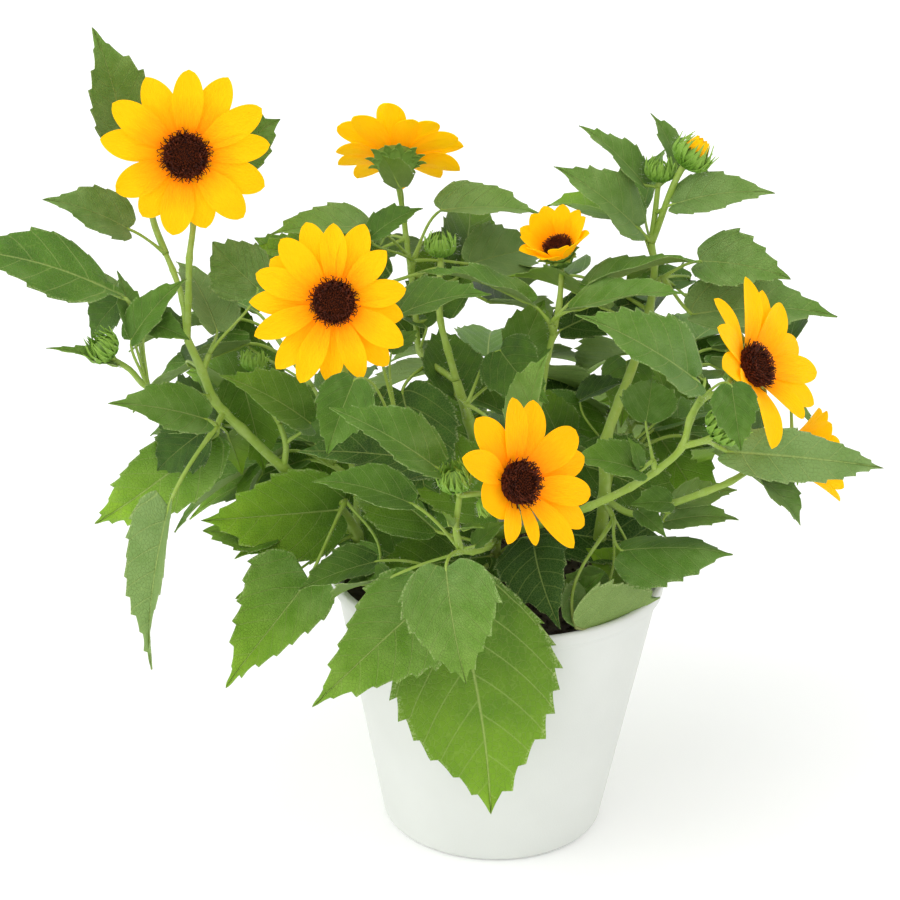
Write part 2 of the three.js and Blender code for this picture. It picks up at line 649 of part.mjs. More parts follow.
const nodesOf = {};
for (const { name, foot, from, legs, radii } of limbs) {
  const start = foot ? new THREE.Vector3(...foot, soilTop + gap * 1.5) : nodesOf[from[0]][from[1]];
  const nodes = walk(start, legs);
  nodesOf[name] = nodes;
  const options = { flare: foot ? 2 : 0 };
  keep(name, limb(nodes, radii, options), limb(nodes, radii, { ...options, grow: gap }), stemFinish);
}

for (const row of flowers) {
  const tip = nodesOf[row.bough].at(-1);
  keep(row.name, flowerHead(tip, row), flowerHead(tip, row, gap), flowerFinish);
}

const rear = rearMasses.map((row) => ({ ...row, leaves: rearLeaves(row) }));
for (const row of [...masses, ...rear]) {
  const [limbName, node] = row.from;
  const foot = nodesOf[limbName][node];
  keep(row.name, foliage(foot, row), foliage(foot, row, gap), leafFinish);
}

export default group;
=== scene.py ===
import math, random
import bmesh, bpy
from mathutils import Matrix, Vector, geometry, noise


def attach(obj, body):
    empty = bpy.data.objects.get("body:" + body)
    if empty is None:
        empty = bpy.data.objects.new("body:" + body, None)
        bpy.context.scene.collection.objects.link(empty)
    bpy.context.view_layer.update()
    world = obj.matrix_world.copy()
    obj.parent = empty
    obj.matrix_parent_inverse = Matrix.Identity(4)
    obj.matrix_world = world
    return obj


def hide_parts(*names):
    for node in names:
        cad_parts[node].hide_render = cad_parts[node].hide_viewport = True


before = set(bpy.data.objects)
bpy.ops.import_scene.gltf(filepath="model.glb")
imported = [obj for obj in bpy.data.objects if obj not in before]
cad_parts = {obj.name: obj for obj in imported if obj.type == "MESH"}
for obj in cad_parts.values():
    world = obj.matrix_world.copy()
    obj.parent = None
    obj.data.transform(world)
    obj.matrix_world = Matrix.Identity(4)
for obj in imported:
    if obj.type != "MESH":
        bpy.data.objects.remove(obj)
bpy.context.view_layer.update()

# The view of the picture: from the front and a little above, with a long lens, so that the pot
# stands near the foot of the frame.
pitch, yaw, tilt = (math.radians(angle) for angle in (21.15, -1.42, 0.94))
look = Vector((math.sin(yaw) * math.cos(pitch), math.cos(yaw) * math.cos(pitch), -math.sin(pitch)))
level = look.cross(Vector((0, 0, 1))).normalized()
over = level.cross(look)
across_view = math.cos(tilt) * level + math.sin(tilt) * over
up_view = math.cos(tilt) * over - math.sin(tilt) * level
camera_stand = (0, -0.9, 0.527)
lens = bpy.data.cameras.new("camera")
lens.lens = 87.36
camera = bpy.data.objects.new("camera", lens)
camera.matrix_world = (Matrix.Translation(camera_stand)
                       @ Matrix((across_view, up_view, -look)).transposed().to_4x4())
bpy.context.scene.collection.objects.link(camera)
bpy.context.scene.camera = camera

# The studio: a white room that lights everything evenly, one very soft lamp above the front left
# and a weaker one at the right, so that the shade under the plant stays open.
world = bpy.data.worlds.new("room")
world.use_nodes = True
world.node_tree.nodes["Background"].inputs["Color"].default_value = (1, 1, 1, 1)
world.node_tree.nodes["Background"].inputs["Strength"].default_value = 0.98
bpy.context.scene.world = world
bpy.context.scene.view_settings.view_transform = "Standard"
lamp_spread = math.radians(60)
for name, place, power in (("key", (-1.1, -0.6, 1.0), 1.0), ("fill", (0.9, -0.7, 0.8), 0.1)):
    lamp = bpy.data.lights.new(name, "SUN")
    lamp.angle, lamp.energy = lamp_spread, power
    light = bpy.data.objects.new(name, lamp)
    light.rotation_euler = Vector(place).to_track_quat("Z", "Y").to_euler()
    bpy.context.scene.collection.objects.link(light)


# The floor is a wide sheet of white paper, laid flat and faintly lit from below.
def tint(red, green, blue):
    """A colour as the eye names it, from 0 to 255, in the linear light that materials take."""
    return tuple((part / 255 / 12.92 if part < 11 else ((part / 255 + 0.055) / 1.055) ** 2.4)
                 for part in (red, green, blue)) + (1.0,)


class Value:
    """What a node gives out. Sums of these put in their own Math nodes."""

    def __init__(self, finish, socket):
        self.finish, self.socket = finish, socket

    def sum(self, operation, first, second=0.0):
        """What a Math node makes of two numbers or Values."""
        return self.finish.add("ShaderNodeMath", {"operation": operation}, {0: first, 1: second})

    def __add__(self, other):
        return self.sum("ADD", self, other)

    def __radd__(self, other):
        return self.sum("ADD", other, self)

    def __sub__(self, other):
        return self.sum("SUBTRACT", self, other)

    def __rsub__(self, other):
        return self.sum("SUBTRACT", other, self)

    def __mul__(self, other):
        return self.sum("MULTIPLY", self, other)

    def __rmul__(self, other):
        return self.sum("MULTIPLY", other, self)

    def __truediv__(self, other):
        return self.sum("DIVIDE", self, other)

    def __rtruediv__(self, other):
        return self.sum("DIVIDE", other, self)

    def __abs__(self):
        return self.sum("ABSOLUTE", self)

    def part(self):
        """What the value has past its last whole number."""
        return self.sum("FRACT", self)

    def held(self):
        """The same value, kept between 0 and 1."""
        return self.finish.add("ShaderNodeClamp", {}, {"Value": self})


class Finish:
    """A material as it is mixed. add() puts in a node and gives back what comes out of it."""

    def __init__(self, name):
        self.material = bpy.data.materials.new(name)
        self.material.use_nodes = True
        self.shader = self.material.node_tree.nodes["Principled BSDF"]

    def add(self, kind, settings, values, out=0):
        node = self.material.node_tree.nodes.new(kind)
        for name, setting in settings.items():
            setattr(node, name, setting)
        for name, value in values.items():
            self.give(node.inputs[name], value)
        return Value(self, node.outputs[out])

    def give(self, socket, value):
        """Links a Value to a socket, or sets a plain number or colour on it."""
        if isinstance(value, Value):
            self.material.node_tree.links.new(value.socket, socket)
        else:
            socket.default_value = value

    def set(self, **sockets):
        """Gives the shader's own sockets, named with _ for a space."""
        for name, value in sockets.items():
            self.give(self.shader.inputs[name.replace("_", " ")], value)

    def mark(self, name):
        """A number that the piece carries at each of its points."""
        return self.add("ShaderNodeAttribute", {"attribute_name": name}, {}, "Fac")

    def place(self):
        """Where a point of the surface lies on the object, in metres."""
        return self.add("ShaderNodeTexCoord", {}, {}, "Object")

    def mottle(self, scale, detail=3.0, where=None):
        """Cloudy noise of that many waves in a metre, or in a unit of where."""
        return self.add("ShaderNodeTexNoise", {},
                        {"Vector": where or self.place(), "Scale": scale, "Detail": detail}, "Fac")

    def blend(self, share, first, second):
        """The first colour, with that share of the second mixed in."""
        return self.add("ShaderNodeMix", {"data_type": "RGBA"}, {0: share, 6: first, 7: second}, 2)

    def relief(self, height, depth):
        """Bump of that depth in metres, from a height between 0 and 1."""
        normal = self.add("ShaderNodeBump", {}, {"Height": height, "Distance": depth}, "Normal")
        self.give(self.shader.inputs["Normal"], normal)


floor_reach = 6
floor_bed = bmesh.new()
bmesh.ops.create_grid(floor_bed, x_segments=1, y_segments=1, size=floor_reach)
floor_mesh = bpy.data.meshes.new("floor")
floor_bed.to_mesh(floor_mesh)
floor_bed.free()
floor = bpy.data.objects.new("floor", floor_mesh)
bpy.context.scene.collection.objects.link(floor)
white = tint(255, 255, 255)
paper = Finish("paper")
paper.set(Base_Color=white, Roughness=0.9, Emission_Color=white, Emission_Strength=0.08)
floor_mesh.materials.append(paper.material)


# The pot is one moulding of matt white plastic: a flat foot with a rounded edge, a wall that widens
# upwards and a plain lip. Its surface has the faint grain of the mould.
def set_down(name, bed, finish, nodes):
    """Makes a piece of a finished mesh and tells the frame what it is."""
    mesh = bpy.data.meshes.new(name)
    bed.to_mesh(mesh)
    bed.free()
    mesh.materials.append(finish.material)
    mesh.shade_smooth()
    piece = bpy.data.objects.new(name, mesh)
    bpy.context.scene.collection.objects.link(piece)
    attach(piece, "root")
    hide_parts(*nodes)


def turned(profile, steps):
    """A turned shape: a profile of (radius, height), from axis to axis, spun round once."""
    bed = bmesh.new()
    points = [bed.verts.new((radius, 0, height)) for radius, height in profile]
    edges = [bed.edges.new(pair) for pair in zip(points, points[1:])]
    bmesh.ops.spin(bed, geom=points + edges, axis=(0, 0, 1), cent=(0, 0, 0), angle=math.tau,
                   steps=steps, use_merge=True)
    bmesh.ops.remove_doubles(bed, verts=bed.verts, dist=1e-6)
    bmesh.ops.recalc_face_normals(bed, faces=bed.faces)
    return bed


pot_foot, foot_round, pot_floor, inner_foot = 0.051, 0.004, 0.003, 0.048
wall_widens, wall_rises = 0.0215, 0.112
pot_profile = [(0, 0)]
pot_profile += [(pot_foot - foot_round + foot_round * math.sin(turn),
                 foot_round - foot_round * math.cos(turn))
                for turn in (math.pi / 2 * step / 6 for step in range(7))]
pot_profile += [(pot_foot + wall_widens * share, foot_round + wall_rises * share)
                for share in (0.25, 0.5, 0.75, 0.98)]
# the lip, from outside to inside, and the inner wall down to the floor
pot_profile += [(0.0726, 0.1157), (0.0732, 0.1162), (0.0741, 0.1165), (0.0746, 0.117), (0.0749, 0.1185),
                (0.075, 0.1205), (0.0749, 0.1218), (0.0745, 0.1225), (0.0738, 0.1229), (0.073, 0.123),
                (0.0724, 0.1228), (0.072, 0.1222), (0.0715, 0.119), (0.0705, 0.116), (0.065, 0.088),
                (inner_foot, pot_floor), (0, pot_floor)]
plastic = Finish("pot_plastic")
grain = plastic.mottle(1400, 2)
cloud = plastic.mottle(22, 4)
plastic.set(Base_Color=plastic.blend(cloud, tint(208, 211, 205), tint(224, 227, 221)),
            Roughness=0.34 + cloud * 0.16, Specular_IOR_Level=0.45)
plastic.relief(grain * 0.4 + cloud * 0.6, 0.00012)
set_down("pot_moulding", turned(pot_profile, 144), plastic, ["pot"])

# The soil is dark potting compost, filled to a finger under the rim. It is poured in loose, so its
# top is uneven, with crumbs of peat and bark lying on it.
soil_top, soil_radius, soil_foot = 0.112, 0.0695, 0.0033
crumb_count = 620
crumbs = random.Random(11)
bed = turned([(0, soil_foot), (inner_foot, soil_foot), (0.0699, 0.1105), (0.0699, 0.1115)]
             + [(soil_radius * step / 26, soil_top) for step in range(26, -1, -1)], 128)
for point in bed.verts:
    if point.co.z > soil_top - 0.001:
        lift = noise.noise(point.co * 160) * 0.0012 + noise.noise(point.co * 420) * 0.0009
        point.co.z = min(soil_top + 0.0008, soil_top - 0.0004 + lift)
for _ in range(crumb_count):
    turn, reach = crumbs.random() * math.tau, (soil_radius - 0.0015) * math.sqrt(crumbs.random())
    size = crumbs.uniform(0.0005, 0.0017)
    lump = (Matrix.Translation((reach * math.cos(turn), reach * math.sin(turn), soil_top + 0.0001))
            @ Matrix.Rotation(crumbs.random() * 6, 4, Vector((crumbs.random(), crumbs.random(), 1)))
            @ Matrix.Diagonal((size * crumbs.uniform(0.8, 2.2), size, size * 0.6, 1)))
    bmesh.ops.create_icosphere(bed, subdivisions=1, radius=1, matrix=lump)
compost = Finish("potting_compost")
peat = compost.mottle(900, 4)
bark = compost.mottle(260, 2)
compost.set(Base_Color=compost.blend(bark * peat * 2.2, tint(24, 19, 15), tint(74, 56, 42)),
            Roughness=0.85 + peat * 0.1)
compost.relief(peat, 0.0006)
set_down("potting_soil", bed, compost, ["soil"])

# The stems and boughs are round green shoots with faint ribs and short white hairs, swollen where a
# leaf or a bough leaves them, and brown and woody near the soil. A row gives the limb's name, its place
# in the soil or the limb and node that it leaves, its radius at both ends, and its legs: the heading of
# each in plan, its rise above the level and its length.
limbs = [
    ("left_stem", (-0.064, 0.014), (0.0032, 0.0019),
     [(-88, 52, 0.036), (-155, 58, 0.018), (-155, 41, 0.032), (-155, 48, 0.028), (-164, 48, 0.011),
      (-166, 54, 0.007), (158, 66, 0.013), (155, 62, 0.015)]),
    ("left_flower_bough", ("left_stem", 8), (0.0016, 0.0013),
     [(86, 76, 0.017), (86, 76, 0.017), (78, 68, 0.016), (115, 71, 0.027)]),
    ("left_rear_bough", ("left_stem", 8), (0.0015, 0.0013),
     [(110, 61, 0.017), (121, 47, 0.014), (130, 48, 0.008)]),
    ("middle_stem", (-0.002, 0.008), (0.004, 0.0022),
     [(-92, 69, 0.014), (-91, 70, 0.013), (-108, 70, 0.026), (180, 75, 0.036), (160, 71, 0.018)]),
    ("far_flower_bough", ("middle_stem", 5), (0.0017, 0.0013),
     [(127, 7, 0.02), (114, 6, 0.013), (101, 42, 0.014), (102, 51, 0.024), (111, 62, 0.016),
      (118, 73, 0.011), (-149, 78, 0.02)]),
    ("bud_bough", ("middle_stem", 5), (0.0018, 0.0013),
     [(137, 66, 0.014), (119, 57, 0.013), (102, 64, 0.014), (81, 63, 0.009)]),
    ("near_left_bough", ("middle_stem", 3), (0.0022, 0.0014),
     [(-131, 27, 0.035), (-147, 39, 0.029), (-154, 44, 0.019), (-159, 68, 0.015), (180, 74, 0.013),
      (128, 75, 0.026)]),
    ("middle_flower_bough", ("middle_stem", 3), (0.002, 0.0013),
     [(21, 49, 0.026), (19, 75, 0.024), (38, 80, 0.018), (41, 74, 0.011), (53, 74, 0.013),
      (85, 53, 0.02)]),
    ("front_bough", ("middle_stem", 2), (0.0024, 0.0018),
     [(-93, 19, 0.046), (-100, 20, 0.038), (-102, 24, 0.022)]),
    ("front_flower_bough", ("middle_stem", 2), (0.0022, 0.0015),
     [(-78, 31, 0.057), (-83, 32, 0.042), (-121, 35, 0.027)]),
    ("right_stem", (0.044, 0.016), (0.0036, 0.0018),
     [(-79, 72, 0.046), (95, 86, 0.028), (46, 64, 0.019), (47, 62, 0.023), (58, 63, 0.018),
      (65, 73, 0.011), (76, 78, 0.01)]),
    ("right_flower_bough", ("middle_stem", 2), (0.0021, 0.0014),
     [(-52, 29, 0.049), (-43, 32, 0.023), (-32, 35, 0.023), (-32, 41, 0.015), (-39, 49, 0.019),
      (0, 78, 0.012), (55, 38, 0.009), (54, -1, 0.017), (77, -6, 0.031)]),
    ("right_low_bough", ("right_stem", 1), (0.0018, 0.0013),
     [(-66, 11, 0.036), (-32, 30, 0.017), (-17, 28, 0.016), (11, 21, 0.011), (39, 15, 0.013),
      (48, 9, 0.016), (50, 15, 0.014), (108, -52, 0.016)]),
    ("rear_left_bough", ("left_stem", 1), (0.002, 0.0014),
     [(95, 30, 0.03), (115, 35, 0.03), (125, 30, 0.025)]),
    ("rear_bough", ("middle_stem", 2), (0.002, 0.0014),
     [(100, 25, 0.035), (95, 15, 0.035), (85, 5, 0.025)]),
    ("rear_right_bough", ("right_stem", 1), (0.002, 0.0014),
     [(80, 10, 0.035), (70, 16, 0.03), (65, 10, 0.02)]),
]


def direction(heading, rise):
    """The way of a heading in plan and a rise above the level."""
    flat = math.cos(math.radians(rise))
    return Vector((flat * math.cos(math.radians(heading)), flat * math.sin(math.radians(heading)),
                   math.sin(math.radians(rise))))


def walk(foot, legs):
    """The nodes that a walk of legs passes, from its foot to its tip."""
    nodes = [foot.copy()]
    for heading, rise, length in legs:
        nodes.append(nodes[-1] + direction(heading, rise) * length)
    return nodes


def ways_between(spots):
    """The way from each spot to the next."""
    return [(there - here).normalized() for here, there in zip(spots, spots[1:])]


def bent_through(nodes, step):
    """A smooth path through the nodes, with a point every step or so."""
    ways = ways_between(nodes)
    bends = [(before + after).normalized() for before, after in zip(ways, ways[1:])]
    bends = [ways[0]] + bends + [ways[-1]]
    path = [nodes[0].copy()]
    for here, there, out, home in zip(nodes, nodes[1:], bends, bends[1:]):
        reach = (there - here).length
        count = max(2, round(reach / step)) + 1
        path += geometry.interpolate_bezier(here, here + out * (reach / 3), there - home * (reach / 3),
                                            there, count)[1:]
    return path


def lay_into(bed, part):
    """Puts a finished part into the mesh of its piece."""
    mesh = bpy.data.meshes.new("part")
    part.to_mesh(mesh)
    part.free()
    bed.from_mesh(mesh)
    bpy.data.meshes.remove(mesh)


def draw_shoot(bed, path, radii, sides, rib=0.0):
    """A round shoot along a path: one ring is drawn on from point to point and closed at both ends.
    Its five ribs stand out by the share rib."""
    part = bmesh.new()
    ring = bmesh.ops.create_circle(part, segments=sides, radius=1)["verts"]
    for point in ring:
        point.co *= 1 + rib * math.cos(5 * math.atan2(point.co.y, point.co.x))
    edges = part.edges[:]
    bmesh.ops.contextual_create(part, geom=edges)
    ways = ways_between(path)
    ways.append(ways[-1])
    turn = Vector((0, 0, 1)).rotation_difference(ways[0])
    now = Matrix.Identity(4)
    for spot, way, radius in zip(path, ways, radii):
        turn = (turn @ Vector((0, 0, 1))).rotation_difference(way) @ turn
        goal = Matrix.Translation(spot) @ turn.to_matrix().to_4x4() @ Matrix.Diagonal((radius,) * 3 + (1,))
        if spot is not path[0]:
            drawn = bmesh.ops.extrude_edge_only(part, edges=edges)["geom"]
            ring = [item for item in drawn if isinstance(item, bmesh.types.BMVert)]
            edges = [item for item in drawn if isinstance(item, bmesh.types.BMEdge)]
        bmesh.ops.transform(part, matrix=goal @ now.inverted(), verts=ring)
        now = goal
    bmesh.ops.contextual_create(part, geom=edges)
    bmesh.ops.recalc_face_normals(part, faces=part.faces)
    lay_into(bed, part)


hair_root, hair_tip = 0.00005, 0.00001


def add_hairs(bed, path, radii, count, length, chance):
    """Short stiff white hairs that stand out from a shoot."""
    for _ in range(count):
        k = chance.randrange(len(path) - 1)
        way = (path[k + 1] - path[k]).normalized()
        out = way.orthogonal()
        out.rotate(Matrix.Rotation(chance.random() * math.tau, 3, way))
        spot = path[k].lerp(path[k + 1], chance.random()) + out * radii[k] * 0.95
        lean = (out + way * chance.uniform(-0.3, 0.5)).normalized()
        size = length * chance.uniform(0.5, 1.2)
        stand = (Matrix.Translation(spot + lean * size / 2)
                 @ lean.to_track_quat("Z", "Y").to_matrix().to_4x4())
        bmesh.ops.create_cone(bed, segments=3, radius1=hair_root, radius2=hair_tip, depth=size,
                              cap_ends=True, matrix=stand)


node_of = {}
path_step, swell_reach = 0.0022, 0.0022
slimmer = 0.88  # the shoots are a little thinner than their solids
stems, hairs = bmesh.new(), bmesh.new()
chance = random.Random(5)
for name, start, (foot_radius, tip_radius), legs in limbs:
    planted = not isinstance(start[0], str)
    foot = Vector((*start, soil_top + 0.00045)) if planted else node_of[start[0]][start[1]]
    nodes = node_of[name] = walk(foot, legs)
    path = bent_through(nodes, path_step)
    whole = len(path) - 1
    radii = []
    for k, spot in enumerate(path):
        share = k / whole
        joint = min((spot - node).length for node in nodes[1:-1])
        swell = 1 + 0.22 * math.exp(-(joint / swell_reach) ** 2) + 0.05 * noise.noise(spot * 300)
        flare = 0.0018 * max(0.0, 1 - share * 6) if planted else 0.0
        radii.append((foot_radius + (tip_radius - foot_radius) * share) * swell * slimmer + flare)
    draw_shoot(stems, path, radii, 16, 0.05)
    add_hairs(hairs, path, radii, 12 * len(legs) + whole, 0.0011, chance)
shoot = Finish("green_shoot")
height = shoot.add("ShaderNodeSeparateXYZ", {}, {0: shoot.place()}, 2)
streak = shoot.mottle(240, 4)
patch = shoot.mottle(45, 3)
green = shoot.blend(patch, tint(122, 156, 44), tint(162, 188, 74))
green = shoot.blend((streak * 2 - 0.9).held() * 0.5, green, tint(186, 204, 132))
woody = ((0.134 - height) * 60 + patch * 0.8 - 0.4).held()
shoot.set(Base_Color=shoot.blend(woody, green, tint(104, 88, 70)), Roughness=0.45 + streak * 0.2)
shoot.relief(streak, 0.0003)
set_down("stems", stems, shoot, [row[0] for row in limbs])
down = Finish("white_hairs")
down.set(Base_Color=down.blend(down.mottle(500), tint(214, 224, 190), tint(242, 246, 230)),
         Roughness=0.5 + down.mottle(900) * 0.2)
set_down("stem_hairs", hairs, down, [])

